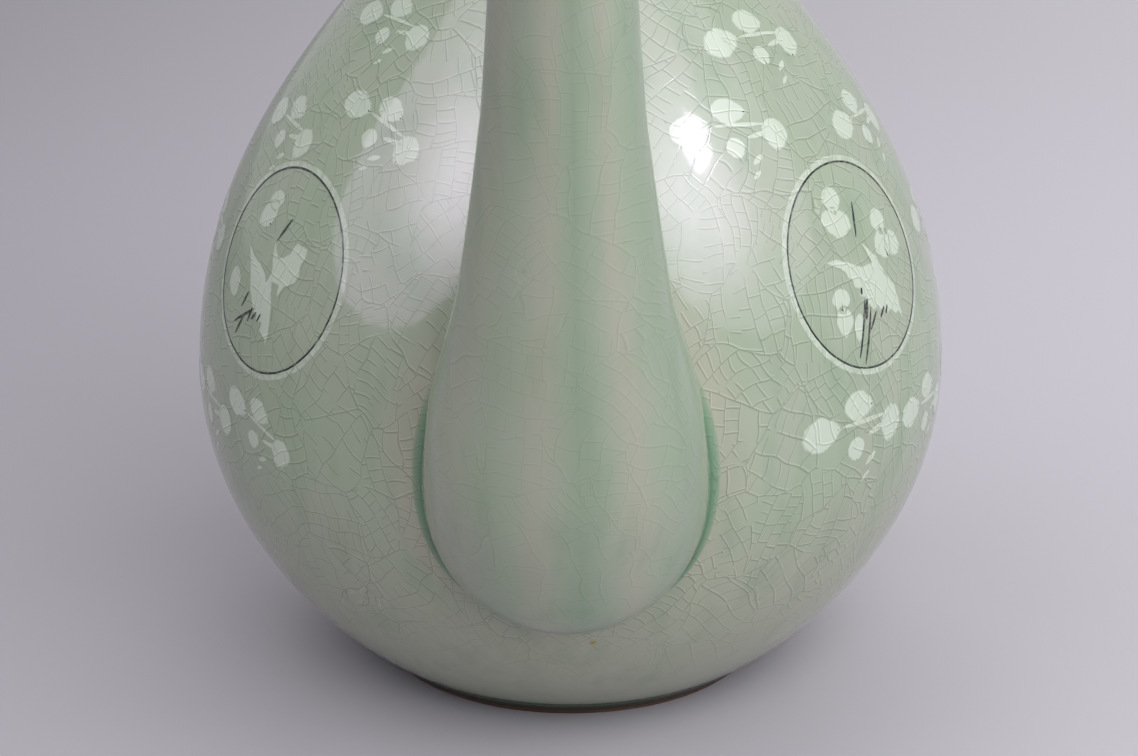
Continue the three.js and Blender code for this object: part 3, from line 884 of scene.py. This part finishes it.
RISING_CRANE = (
    (2, 7), (4.5, 4.5), (6.5, 2.5), (7, 1), (8, -1), (10.5, -3.5), (11, -6), (11.5, -8.5), (12, -11.5),
    (10, -9), (9, -9.5), (7.5, -8), (6, -8.5), (5, -7), (3.5, -7.5), (3, -6.5), (1.5, -7), (0.5, -5.5),
    (-0.5, -6), (-1, -3.5), (-2, -3.5), (-1.5, -2), (-3, -1.5), (-3, 0), (-4, 0.5), (-4.5, 2), (-6, 3),
    (-9.5, 5), (-6, 5), (-2.5, 3.5), (0.5, 2), (4, 2), (3, 4.5),
)
RISING_STROKES = (
    (3.9, 13.7, 1.6, 7.2, 0.5), (-0.3, -3.5, -4.8, -14.4, 0.55), (0.8, -5.8, -3.4, -16, 0.55),
    (2.3, -7, -0.4, -10, 0.5), (0.1, -4, -1.2, -7.8, 0.8), (-0.9, -1.7, -1.2, -3.1, 0.6),
    (5.1, -6.7, 3.4, -8.5, 0.5), (6.3, -6.7, 5.4, -8.2, 0.5),
)
RISING_CLOUDS = (
    (-1.9, 15.2, 5.6, 5.6, -95), (-2.7, 10.9, 6.3, 9.2, -109), (10.6, 8.5, 5.5, 5.9, -86),
    (9.9, 4.1, 6.2, 7, -72), (13.7, 3.5, 5.8, 6.4, -109), (-7.2, -2.8, 5, 5.3, -96),
    (-7.4, -6.8, 6.3, 5, -99), (-3.7, -8.8, 5.8, 3.2, -104),
)
FALLING_CRANE = (
    (-4, 6), (-2, 3.5), (-0.5, 4), (1, 5), (1.5, 6.5), (2.5, 7.5), (5.5, 7), (6, 5.5), (5, 3.5), (5.5, 1.5),
    (4.5, 0), (2, -1.5), (0.5, -4), (0, -3), (0, -1.5), (-2, -1.5), (-0.5, -5.5), (0, -8.5), (0, -11.5),
    (-0.5, -13.5), (-1.5, -12), (-3.5, -11), (-3, -9.5), (-5, -9.5), (-5, -8.5), (-7, -8), (-7.5, -6.5),
    (-9, -4.5), (-10, -2), (-12, 1.5), (-14.5, 4.5), (-10, 2), (-7, 1), (-4.5, -0.5), (-4, -1.5), (-3, 0.5),
    (-4, 3), (-4.5, 5.5),
)
FALLING_STROKES = (
    (-1.3, 11.1, -4, 6.1, 0.5), (-9.2, -4.8, -11.1, -8.1, 0.5), (-5.9, -7.3, -13.3, -11.5, 0.55),
    (-6.7, -7.1, -7.9, -10.3, 0.5), (-9.4, -9.2, -12.2, -13.7, 0.5), (-5.1, -7.8, -6.6, -9.6, 0.5),
    (-3.6, -7.8, -4.5, -9.5, 0.5),
)
FALLING_CLOUDS = ((-8.5, 13.1, 4.4, 5.3, -79), (-9.5, 10.1, 5.5, 7.3, -48), (-16, -4.5, 6.6, 5.4, -70))

# Places on the wall: azimuth from the spout in degrees and height in millimetres. A roundel then has True for
# a rising crane and False for a falling one, and a cloud its turn and size.
ROUNDELS = ((51.7, 94.4, True), (-51.9, 92.9, False), (130, 94.4, True), (-130, 92.9, False))
# Shift of each crane's drawing from the middle of its roundel.
RISING_MIDDLE = (-1.3, -2.4)
FALLING_MIDDLE = (3.4, -0.9)
CLOUDS = (
    (49.1, 133, 0, 1), (32.7, 120, 0, 1), (71.5, 115.5, 0, 1), (84, 94, 0, 0.9),
    (-48.5, 135.7, 0, 0.9), (-37.8, 120, -15, 0.92), (-64.7, 115.5, 0, 0.97), (-81.5, 93, 0, 0.9),
    (46, 65.2, 2, 1.15), (67.2, 61.7, 0, 1), (-50.8, 63.2, -13, 0.9), (-67.8, 62, 0, 1),
    (131, 134, 0, 0.95), (-131, 134, 0, 0.95), (112, 118, 0, 1), (-112, 118, -8, 1),
    (149, 119, 0, 0.9), (-149, 119, 0, 0.9), (89, 63, 0, 1), (-89, 63, -6, 1), (110, 64, 0, 1.1),
    (-110, 64, 0, 1.1), (131, 62, -5, 1), (-131, 62, 0, 1), (152, 64, 0, 1), (-152, 64, 0, 1),
    (174, 62, 0, 1), (38, 205, 0, 0.85), (-38, 205, 0, 0.85), (92, 208, 0, 0.85), (-92, 208, 0, 0.85),
    (142, 204, 0, 0.8), (-142, 204, 0, 0.8), (0, 206, 0, 0.85), (66, 224, 0, 0.6), (-66, 224, 0, 0.6),
    (118, 224, 0, 0.6), (-118, 224, 0, 0.6), (18, 225, 0, 0.6), (-18, 225, 0, 0.6),
)


def wall_frame(wall, azimuth, height):
    """A flat frame on the wall: x to the right as seen from outside, y up the wall and z out of it."""
    away = Vector((math.sin(azimuth), -math.cos(azimuth), 0))
    point = AXIS + wall_radius(wall, height) * away + Vector((0, 0, height))
    normal = wall_normal(wall, point)
    right = Vector((math.cos(azimuth), math.sin(azimuth), 0))
    flat = Matrix((right, normal.cross(right), normal)).transposed().to_4x4()
    flat.translation = point
    return flat


def brush_drop():
    """A flat brush drop one unit long and wide, its tip towards x, thin at its edge."""
    sides = 28
    drop = start_piece(
        "brush_drop", bpy.ops.mesh.primitive_circle_add, vertices=sides, radius=0.5, fill_type="NGON"
    )
    for reach, narrowing in ((0.05, 0.93), (0.2, 0.85), (0.33, 0.75), (0.44, 0.6)):
        select_where(drop, lambda place: place.x > reach)
        bpy.ops.transform.resize(value=(1, narrowing, 1), center_override=(0, 0, 0))
    bpy.ops.mesh.select_all(action="SELECT")
    bpy.ops.mesh.inset(thickness=0.13)
    bpy.ops.mesh.poke()
    bpy.ops.object.mode_set(mode="OBJECT")
    set_amounts(drop, "cover", [0.0] * sides + [1.0] * (len(drop.data.vertices) - sides))
    return drop


def brush_stroke():
    """A flat thin stroke one unit long and wide, drawn to a point at both ends."""
    stroke = start_piece(
        "brush_stroke", bpy.ops.mesh.primitive_circle_add, vertices=24, radius=0.5, fill_type="NGON"
    )
    bpy.ops.mesh.poke()
    bpy.ops.mesh.subdivide(number_cuts=3)
    bpy.ops.object.mode_set(mode="OBJECT")
    set_amounts(stroke, "cover", [0.55] * len(stroke.data.vertices))
    return stroke


def filled_outline(name, points):
    """A flat filled shape with the outline drawn point by point, in millimetres."""
    corners = [Vector((x * MM, y * MM, 0)) for x, y in points]
    shape = start_piece(name, bpy.ops.mesh.primitive_plane_add, size=MM)
    bpy.ops.mesh.merge(type="CENTER")
    bpy.ops.transform.translate(value=corners[0])
    for before, after in zip(corners, corners[1:]):
        bpy.ops.mesh.extrude_region_move(TRANSFORM_OT_translate={"value": after - before})
    bpy.ops.mesh.select_all(action="SELECT")
    bpy.ops.mesh.edge_face_add()
    bpy.ops.mesh.quads_convert_to_tris()
    bpy.ops.mesh.subdivide(number_cuts=7)
    bpy.ops.mesh.normals_make_consistent(inside=False)
    bpy.ops.object.mode_set(mode="OBJECT")
    soft = 0.7 * MM
    covers = []
    for vertex in shape.data.vertices:
        sides = zip(corners, corners[1:] + corners[:1])
        covers.append(min(side_distance(vertex.co, start, end) for start, end in sides) / soft)
    set_amounts(shape, "cover", covers)
    return shape


def side_distance(point, start, end):
    """Distance of a point from a straight side."""
    side = end - start
    share = max(0, min(1, (point - start).dot(side) / side.dot(side)))
    return (point - start - share * side).length


def flat_ring(name, inner, outer, cover):
    """A flat ring drawn round the origin, with slip of a given cover."""
    ring = start_piece(name, bpy.ops.mesh.primitive_circle_add, vertices=160, radius=inner)
    bpy.ops.mesh.extrude_region_move()
    bpy.ops.transform.resize(value=(outer / inner, outer / inner, 1), center_override=(0, 0, 0))
    bpy.ops.mesh.select_all(action="SELECT")
    bpy.ops.mesh.normals_make_consistent(inside=False)
    bpy.ops.object.mode_set(mode="OBJECT")
    set_amounts(ring, "cover", [cover] * len(ring.data.vertices))
    return ring


def copied(model, place):
    """A copy of a model with its own mesh, at a place."""
    choose(model)
    bpy.ops.object.duplicate()
    copy = bpy.context.active_object
    copy.matrix_world = place
    return copy


def joined(name, shapes):
    """The shapes as one object at the origin."""
    bpy.ops.object.select_all(action="DESELECT")
    for shape in shapes:
        shape.select_set(True)
    bpy.context.view_layer.objects.active = shapes[0]
    bpy.ops.object.transform_apply(location=True, rotation=True, scale=True)
    bpy.ops.object.join()
    shapes[0].name = name
    shapes[0].data.name = name
    return shapes[0]


def drop_place(x, y, long, wide, turn):
    place = Matrix.Translation((x * MM, y * MM, 0)) @ Matrix.Rotation(math.radians(turn), 4, "Z")
    return place @ Matrix.Diagonal((long * MM, wide * MM, 1, 1))


def stroke_place(x0, y0, x1, y1, wide):
    turn = math.degrees(math.atan2(y1 - y0, x1 - x0))
    return drop_place((x0 + x1) / 2, (y0 + y1) / 2, math.hypot(x1 - x0, y1 - y0), wide, turn)


def laid_in(name, shapes, lift, bulbs):
    """The flat shapes wrapped on the bulbs' wall as thin inlays that take the wall's own normals."""
    inlay = joined(name, shapes)
    inlay.vertex_groups.new(name="under")
    apply_modifier(inlay, "SOLIDIFY", thickness=0.3 * MM, offset=-1, shell_vertex_group="under")
    for depth, is_top in ((lift, True), (-0.25 * MM, False)):
        apply_modifier(
            inlay,
            "SHRINKWRAP",
            target=bulbs,
            wrap_mode="ABOVE_SURFACE",
            offset=depth,
            vertex_group="under",
            invert_vertex_group=is_top,
        )
    inlay.vertex_groups.clear()
    choose(inlay)
    bpy.ops.object.shade_smooth()
    apply_modifier(
        inlay,
        "DATA_TRANSFER",
        object=bulbs,
        use_loop_data=True,
        data_types_loops={"CUSTOM_NORMAL"},
        loop_mapping="POLYINTERP_NEAREST",
    )
    return inlay


# Operators, one for each piece or group of like pieces


class ThrowBulbs(bpy.types.Operator):
    """Throw the two bulbs and the mouth's collar as one glazed wall, and drill the pour hole"""

    bl_idname = "ewer.throw_bulbs"
    bl_label = "Throw Bulbs"

    def execute(self, context):
        s = sizes()
        belly, waist, _, collar, rim = heights(s)
        mouth = s.collar_radius - s.collar_wall
        lip = s.collar_radius + s.collar_lip
        floor = s.foot_height + s.floor_thickness
        neck = curve(
            at(s.collar_radius, collar),
            at(s.collar_radius - s.collar_lip, collar + s.collar_height * 0.25),
            at(s.collar_radius - s.collar_lip / 2, collar + s.collar_height * 0.5),
            at(lip, rim - 2 * s.collar_lip),
            steps=8,
        )
        soft = s.collar_lip / 2
        edge = at(mouth, rim)
        rounded = curve(neck[-1], at(lip, rim - soft), at(lip, rim), at(lip - s.collar_lip, rim), steps=6)
        into_mouth = curve(at(mouth + soft, rim), edge, edge, at(mouth, rim - soft), steps=4)
        inside = [
            point
            for point in offset(outer_wall(s, INSIDE_STEPS), -s.bulb_wall)
            if floor + s.bulb_wall < point.y < collar - s.collar_wall / 2
        ]
        floor_edge = at(inside[0].x - (inside[0].y - floor), floor)
        glaze, bare = 0.3 * MM, 1.3 * MM
        foot_side = s.foot_radius + s.foot_draft * bare / s.foot_height
        ledge = outer_wall(s, WALL_STEPS)[1]
        skirt = curve(
            at(foot_side + glaze, bare),
            at(foot_side + 2 * glaze, s.foot_height * 0.7),
            at(s.foot_radius + s.foot_draft + s.base_ledge / 2, s.foot_height),
            ledge,
            steps=10,
        )
        outline = [
            at(0, s.foot_height),
            at(foot_side - glaze, s.foot_height),
            at(foot_side - glaze, bare),
            *skirt,
            *outer_wall(s, WALL_STEPS)[2:],
            *neck[1:],
            *rounded[1:],
            *into_mouth,
            at(mouth, collar),
            *reversed(inside),
            floor_edge,
            at(0, floor),
        ]
        bulbs = turned("bulbs", outline, BULB_STEPS)
        drill = start_piece(
            "pour_drill",
            bpy.ops.mesh.primitive_cylinder_add,
            vertices=TUBE_SIDES,
            radius=s.pour_hole,
            depth=s.belly_radius,
        )
        lean_selection(math.pi / 2, (0, 0, 0))
        bpy.ops.transform.translate(value=in_plane(-s.belly_radius, belly + s.spout_base_rise))
        bpy.ops.object.mode_set(mode="OBJECT")
        cut_from(bulbs, drill)
        z = vertex_places(bulbs)[:, 2]
        in_creases = 0.5 * hump(z, waist, 5 * MM) + 0.6 * hump(z, collar + 2 * MM, 2.5 * MM)
        # Glaze pools at the waist and below the collar. Down the foot's skirt the amount climbs to 1, the
        # darkest tones: painted contact shadow round the foot.
        set_amounts(bulbs, "pool_and_shade", in_creases + below(z, 6 * MM, 3.5 * MM))
        # Painted light: the lower bulb is painted greyer towards the foot, as light thrown up from the lavender
        # floor.
        set_amounts(bulbs, "thin", 0.4 * below(z, 60 * MM, 30 * MM))
        set_amounts(bulbs, "calm", below(z, 36 * MM, 26 * MM))
        finish_piece(bulbs, "ewer", "celadon_glaze", "lower_bulb", "upper_bulb", "mouth_collar")
        return {"FINISHED"}


class TurnFoot(bpy.types.Operator):
    """Turn the bare foot ring with its softened edges"""

    bl_idname = "ewer.turn_foot"
    bl_label = "Turn Foot"

    def execute(self, context):
        s = sizes()
        inner = s.foot_radius - s.foot_width
        soft = 0.5 * MM
        outline = [
            at(inner - s.foot_draft, s.foot_height),
            at(inner - soft, soft),
            at(inner, 0),
            at(s.foot_radius - soft, 0),
            at(s.foot_radius, soft),
            at(s.foot_radius + s.foot_draft, s.foot_height),
            at(inner - s.foot_draft, s.foot_height),
        ]
        foot = turned("foot_ring_turned", outline, BULB_STEPS)
        finish_piece(foot, "ewer", "bare_stoneware", "foot_ring")
        return {"FINISHED"}


class DrawSpout(bpy.types.Operator):
    """Draw the hollow spout, round its lip and fit it to the lower bulb"""

    bl_idname = "ewer.draw_spout"
    bl_label = "Draw Spout"

    def execute(self, context):
        s = sizes()
        lip = s.spout_wall / 2
        share_per_metre = 3.4
        last = 1 - share_per_metre * lip
        rings = [spout_ring(s, last * i / SPOUT_RINGS) for i in range(SPOUT_RINGS + 1)]
        centre, width, depth, lean = rings[-1]
        beyond = Vector((0, -math.sin(lean), math.cos(lean)))
        for step in range(1, LIP_STEPS):
            turn = math.pi * step / LIP_STEPS
            inset = lip * (1 - math.cos(turn))
            rings.append((centre + lip * math.sin(turn) * beyond, width - inset, depth - inset, lean))
        rings += [spout_ring(s, last * (1 - i / BORE_RINGS), s.spout_wall) for i in range(BORE_RINGS + 1)]
        spout = drawn_tube("spout_drawn", rings, TUBE_SIDES)
        bpy.ops.mesh.bridge_edge_loops()
        close_piece(spout)
        cut_from(spout, bulb_form(s, MM))
        places = vertex_places(spout)
        outer = rings[: SPOUT_RINGS + 1]
        half_width = np.interp(places[:, 2], [ring[0].z for ring in outer], [ring[1] for ring in outer])
        side = places[:, 0] / half_width
        for name, runs in SPOUT_RUNS.items():
            set_amounts(spout, name, sum(amount * hump(side, middle, wide) for middle, wide, amount in runs))
        set_amounts(spout, "calm", [SPOUT_CALM] * len(places))
        fillet = crease_fillet(
            s,
            "spout_crease",
            lambda share: spout_ring(s, share),
            0.0,
            0.6,
            lambda turn: s.glaze_pool * (0.3 + 0.7 * min(1, 0.75 + 0.75 * math.sin(turn))),
        )
        finish_piece(spout, "ewer", "celadon_glaze", "spout")
        finish_piece(fillet, "ewer", "celadon_glaze")
        return {"FINISHED"}


class PullHandle(bpy.types.Operator):
    """Pull the strap handle and fit it to the crown and the shoulder"""

    bl_idname = "ewer.pull_handle"
    bl_label = "Pull Handle"

    def execute(self, context):
        s = sizes()
        rings = [handle_ring(s, i / HANDLE_RINGS) for i in range(HANDLE_RINGS + 1)]
        handle = drawn_tube("handle_pulled", rings, TUBE_SIDES)
        bpy.ops.mesh.fill_holes(sides=0)
        close_piece(handle)
        cut_from(handle, bulb_form(s, MM))
        finish_piece(handle, "ewer", "celadon_glaze", "handle")
        for name, start, end in (("handle_crown_crease", 0.0, 0.4), ("handle_foot_crease", 1.0, 0.6)):
            fillet = crease_fillet(
                s, name, lambda share: handle_ring(s, share), start, end, lambda turn: s.glaze_pool * 0.8
            )
            finish_piece(fillet, "ewer", "celadon_glaze")
        return {"FINISHED"}


class RollLoops(bpy.types.Operator):
    """Roll the two cord loops and set them on the lid and on the handle's crest"""

    bl_idname = "ewer.roll_loops"
    bl_label = "Roll Loops"

    def execute(self, context):
        s = sizes()
        lid_top = heights(s)[4] + s.lid_gap + s.lid_dome
        lid_radius = s.collar_radius + s.collar_lip + s.lid_overhang
        crest = max((handle_ring(s, i / 400) for i in range(401)), key=lambda ring: ring[0].z)[0]
        on_lid = in_plane((lid_radius + s.knob_seat) / 2, lid_top - s.loop_thickness / 2)
        on_handle = crest + Vector((0, 0, s.handle_thickness / 2))
        for name, foot, body, node in (
            ("lid_loop_rolled", on_lid, "lid", "lid_loop"),
            ("handle_loop_rolled", on_handle, "ewer", "handle_loop"),
        ):
            loop = start_piece(
                name,
                bpy.ops.mesh.primitive_torus_add,
                major_radius=s.loop_radius,
                minor_radius=s.loop_thickness / 2,
                major_segments=40,
                minor_segments=20,
            )
            bpy.ops.transform.rotate(value=math.pi / 2, orient_axis="Y", center_override=(0, 0, 0))
            bpy.ops.transform.translate(value=foot)
            sunk = foot - Vector((0, 0, s.loop_thickness))
            bpy.ops.mesh.bisect(plane_co=sunk, plane_no=(0, 0, 1), use_fill=True, clear_inner=True)
            close_piece(loop)
            finish_piece(loop, body, "celadon_glaze", node)
        return {"FINISHED"}


class ThrowLid(bpy.types.Operator):
    """Throw the domed lid with its bud knob, and its bare flange"""

    bl_idname = "ewer.throw_lid"
    bl_label = "Throw Lid"

    def execute(self, context):
        s = sizes()
        seat = heights(s)[4] + s.lid_gap
        top = seat + s.lid_dome
        radius = s.collar_radius + s.collar_lip + s.lid_overhang
        dome = curve(
            at(radius, seat + s.lid_edge),
            at(radius - s.lid_overhang / 2, seat + s.lid_dome * 0.75),
            at((radius + s.knob_seat) / 2, top),
            at(s.knob_seat, top),
            steps=16,
        )
        edge = curve(
            at(radius - s.lid_edge / 3, seat),
            at(radius - s.lid_edge / 9, seat),
            at(radius, seat + s.lid_edge / 3),
            at(radius, seat + s.lid_edge),
            steps=5,
        )
        widest = at(s.knob_bud, top + 0.55 * s.knob_height)
        to_bud = curve(
            at(s.knob_seat, top),
            at(s.knob_neck, top + 0.2 * s.knob_height),
            at(s.knob_bud, top + 0.2 * s.knob_height),
            widest,
            steps=12,
        )
        to_point = curve(
            widest,
            at(s.knob_bud, top + 0.85 * s.knob_height),
            at(s.knob_neck / 2, top + 0.8 * s.knob_height),
            at(0, top + s.knob_height),
            steps=12,
        )
        lid = turned("lid_thrown", [at(0, seat), *edge, *dome[1:], *to_bud[1:], *to_point[1:]], SMALL_STEPS)
        z = vertex_places(lid)[:, 2]
        set_amounts(lid, "pool_and_shade", 0.7 * hump(z, top, 1.5 * MM))
        finish_piece(lid, "lid", "celadon_glaze", "lid_cap", "lid_knob")
        outer = s.collar_radius - s.collar_wall - s.flange_clearance
        inner = outer - s.flange_wall
        bottom = seat - s.flange_depth
        soft = 0.5 * MM
        outline = [
            at(inner, seat),
            at(inner, bottom + soft),
            at(inner + soft, bottom),
            at(outer - soft, bottom),
            at(outer, bottom + soft),
            at(outer, seat),
            at(inner, seat),
        ]
        flange = turned("lid_flange_turned", outline, SMALL_STEPS)
        finish_piece(flange, "lid", "bare_stoneware", "lid_flange")
        return {"FINISHED"}


class InlaySlip(bpy.types.Operator):
    """Inlay the white and black slip: roundels with a crane each, and clouds all round"""

    bl_idname = "ewer.inlay_slip"
    bl_label = "Inlay Slip"

    def execute(self, context):
        s = sizes()
        wall = outer_wall(s, 4 * WALL_STEPS)
        drop = brush_drop()
        stroke = brush_stroke()
        cloud_body = joined("cloud_lobes", [copied(drop, drop_place(*mark)) for mark in CLOUD_LOBES])
        cloud_stems = joined("cloud_stems", [copied(stroke, stroke_place(*mark)) for mark in CLOUD_STEMS])
        radius, line = s.roundel_radius, 0.2 * MM
        black_ring = flat_ring("black_ring", radius - line, radius + line, 0.55)
        white_ring = flat_ring("white_ring", radius + line, radius + 6.5 * line, 0.42)
        rising_crane = filled_outline("rising_crane", RISING_CRANE)
        falling_crane = filled_outline("falling_crane", FALLING_CRANE)
        birds = {
            True: (rising_crane, RISING_CLOUDS, RISING_STROKES, RISING_MIDDLE),
            False: (falling_crane, FALLING_CLOUDS, FALLING_STROKES, FALLING_MIDDLE),
        }
        lobes, lines, strokes = [], [], []
        for azimuth, height, turn, size in CLOUDS:
            place = wall_frame(wall, math.radians(azimuth), height * MM)
            place = place @ Matrix.Rotation(math.radians(turn), 4, "Z") @ Matrix.Scale(size, 4)
            lobes.append(copied(cloud_body, place))
            lines.append(copied(cloud_stems, place))
        for azimuth, height, rising in ROUNDELS:
            ring = wall_frame(wall, math.radians(azimuth), height * MM)
            bird, clouds, marks, middle = birds[rising]
            place = ring @ Matrix.Translation(Vector((*middle, 0)) * MM)
            lobes += [copied(drop, place @ drop_place(*mark)) for mark in clouds]
            lines += [copied(bird, place), copied(white_ring, ring)]
            strokes.append(copied(black_ring, ring))
            strokes += [copied(stroke, place @ stroke_place(*mark)) for mark in marks]
        models = (drop, stroke, cloud_body, cloud_stems, black_ring, white_ring, rising_crane, falling_crane)
        for model in models:
            bpy.data.objects.remove(model)
        bulbs = bpy.data.objects["bulbs"]
        # Each layer lies a little higher, so that none hides in another.
        layer = 0.015 * MM
        white_lobes = laid_in("white_lobes", lobes, 3 * layer, bulbs)
        white_lines = laid_in("white_lines", lines, 4 * layer, bulbs)
        white = joined("white_inlay", [white_lobes, white_lines])
        black = laid_in("black_inlay", strokes, 5 * layer, bulbs)
        finish_piece(white, "ewer", "white_inlay")
        finish_piece(black, "ewer", "black_inlay")
        return {"FINISHED"}


def background_rays(tree):
    """1 for the rays that show the background: from the camera, mirrored in gloss or through glass."""
    rays = add_node(tree, "LightPath").node.outputs
    shown = rays["Is Camera Ray"]
    for kind in ("Is Glossy Ray", "Is Transmission Ray"):
        shown = add_node(tree, "Math", (shown, rays[kind]), operation="MAXIMUM")
    return shown


def lay_floor():
    """A wide sheet of pale paper that stays pale far behind the ewer, where no lamp reaches."""
    c = colours()
    half_shade, far_start, far_end = 0.3, 0.3, 1.0
    bpy.ops.object.select_all(action="DESELECT")
    bpy.ops.mesh.primitive_plane_add(size=30)
    floor = bpy.context.active_object
    floor.name = "floor"
    material, tree = new_material("paper_floor")
    place = add_node(tree, "TexCoord", output="Object")
    # The paper's tone is painted darker to the left and paler to the right as the light falls, and the far
    # backdrop glows in the same tones.
    across = add_node(tree, "SeparateXYZ", (place,), "X")
    share = add_node(tree, "MapRange", {"Value": across, "From Min": -half_shade, "From Max": half_shade})
    tone = add_node(tree, "Mix", (share, c.floor_shaded_left, c.floor_lit_right), data_type="RGBA")
    matt = {"Base Color": tone, "Roughness": 0.9, "Specular IOR Level": 0.1}
    paper = add_node(tree, "BsdfPrincipled", matt)
    away = add_node(tree, "VectorMath", (place,), operation="LENGTH")
    fading = {"Value": away, "From Min": far_start, "From Max": far_end}
    shown = add_node(tree, "MapRange", fading, interpolation_type="SMOOTHSTEP")
    shown = add_node(tree, "Math", (shown, background_rays(tree)), operation="MULTIPLY")
    backdrop = add_node(tree, "Emission", {"Color": tone})
    add_node(tree, "OutputMaterial", (add_node(tree, "MixShader", (shown, paper, backdrop)),))
    floor.data.materials.append(material)


def hung(azimuth, elevation, distance):
    """A place at a distance from the belly, and the turn that faces it. The angles are in degrees."""
    turn, rise = math.radians(azimuth), math.radians(elevation)
    way = Vector((math.sin(turn) * math.cos(rise), -math.cos(turn) * math.cos(rise), math.sin(rise)))
    belly = AXIS + Vector((0, 0, heights(sizes())[0]))
    return belly + distance * way, (-way).to_track_quat("-Z", "Y").to_euler()


def hang_lamp(name, azimuth, elevation, spread, watts):
    """A round lamp that lights the tones and isn't seen."""
    distance = 1.6
    place, facing = hung(azimuth, elevation, distance)
    bpy.ops.object.light_add(type="AREA", location=place, rotation=facing)
    lamp = bpy.context.active_object
    lamp.name = name
    lamp.data.shape = "DISK"
    lamp.data.size = 2 * distance * math.tan(math.radians(spread))
    lamp.data.energy = watts
    lamp.visible_camera = False
    lamp.visible_glossy = False


def hang_softbox(name, azimuth, elevation, spread, rim, bright, bright_x, bright_y):
    """A round cloth lit from behind, brightest at one place, that only the gloss shows."""
    distance = 0.8
    place, facing = hung(azimuth, elevation, distance)
    radius = distance * math.tan(math.radians(spread))
    bpy.ops.object.select_all(action="DESELECT")
    bpy.ops.mesh.primitive_circle_add(
        vertices=96, radius=radius, fill_type="NGON", location=place, rotation=facing
    )
    softbox = bpy.context.active_object
    softbox.name = name
    material, tree = new_material(name + "_cloth")
    spot = add_node(tree, "TexCoord", output="Object")
    brightest = (bright_x * radius, bright_y * radius, 0)
    away = add_node(tree, "VectorMath", (spot, brightest), operation="DISTANCE")
    fading = {"Value": away, "From Max": radius, "To Min": bright, "To Max": rim}
    level = add_node(tree, "MapRange", fading, interpolation_type="SMOOTHSTEP")
    glow = add_node(tree, "Emission", {"Color": linear("F6E6FF"), "Strength": level})
    add_node(tree, "OutputMaterial", (glow,))
    softbox.data.materials.append(material)
    softbox.visible_camera = False
    softbox.visible_diffuse = False
    softbox.visible_shadow = False


def light_room():
    """A pale room, brighter overhead than at the level of the table."""
    world = bpy.data.worlds.new("studio")
    world.use_nodes = True
    tree = world.node_tree
    tree.nodes.clear()
    way = add_node(tree, "TexCoord", output="Generated")
    height = add_node(tree, "SeparateXYZ", (way,), "Z")
    level = add_node(tree, "MapRange", {"Value": height, "To Min": ROOM_LOW, "To Max": ROOM_HIGH})
    level = add_node(tree, "Mix", (background_rays(tree), level, ROOM_SEEN))
    glow = add_node(tree, "Background", {"Color": linear("E6E4EA"), "Strength": level})
    add_node(tree, "OutputWorld", (glow,))
    bpy.context.scene.world = world


def stand_camera():
    """The photograph's viewpoint: above the ewer's belly and a little to the right of the spout."""
    elevation = math.radians(19.5)
    azimuth = math.radians(0.7)
    distance = 525 * MM
    aim = AXIS + Vector((-0.3 * MM, 0, 56.65 * MM))
    level = Vector((math.sin(azimuth), -math.cos(azimuth), 0))
    eye = aim + distance * (math.cos(elevation) * level + Vector((0, 0, math.sin(elevation))))
    bpy.ops.object.camera_add(location=eye, rotation=(math.pi / 2 - elevation, 0, azimuth))
    camera = bpy.context.active_object
    camera.data.sensor_width = 36
    camera.data.lens = 81.3
    camera.data.clip_start = 10 * MM
    bpy.context.scene.camera = camera


class SetStage(bpy.types.Operator):
    """Lay the pale floor, hang the lamps and softboxes, light the room and stand the camera"""

    bl_idname = "ewer.set_stage"
    bl_label = "Set Stage"

    def execute(self, context):
        lay_floor()
        for lamp in LAMPS:
            hang_lamp(*lamp)
        for softbox in SOFTBOXES:
            hang_softbox(*softbox)
        light_room()
        stand_camera()
        context.scene.view_settings.view_transform = "Standard"
        return {"FINISHED"}


class EwerPanel(bpy.types.Panel):
    """The ewer's steps and sizes in the sidebar"""

    bl_idname = "VIEW3D_PT_ewer"
    bl_label = "Double Gourd Ewer"
    bl_space_type = "VIEW_3D"
    bl_region_type = "UI"
    bl_category = "Ewer"

    def draw(self, context):
        for step in STEPS:
            self.layout.operator(step.bl_idname)
        for group in (sizes(), colours()):
            for name in group.__annotations__:
                self.layout.prop(group, name)


STEPS = (ThrowBulbs, TurnFoot, DrawSpout, PullHandle, RollLoops, ThrowLid, InlaySlip, SetStage)
CLASSES = (EwerSizes, EwerColours, *STEPS, EwerPanel)


def register():
    for kind in CLASSES:
        bpy.utils.register_class(kind)
    bpy.types.Scene.ewer_sizes = bpy.props.PointerProperty(type=EwerSizes)
    bpy.types.Scene.ewer_colours = bpy.props.PointerProperty(type=EwerColours)


def unregister():
    del bpy.types.Scene.ewer_colours
    del bpy.types.Scene.ewer_sizes
    for kind in reversed(CLASSES):
        bpy.utils.unregister_class(kind)


def main():
    register()
    bpy.ops.ewer.throw_bulbs()
    bpy.ops.ewer.turn_foot()
    bpy.ops.ewer.draw_spout()
    bpy.ops.ewer.pull_handle()
    bpy.ops.ewer.roll_loops()
    bpy.ops.ewer.throw_lid()
    bpy.ops.ewer.inlay_slip()
    bpy.ops.ewer.set_stage()


if __name__ == "__main__":
    main()
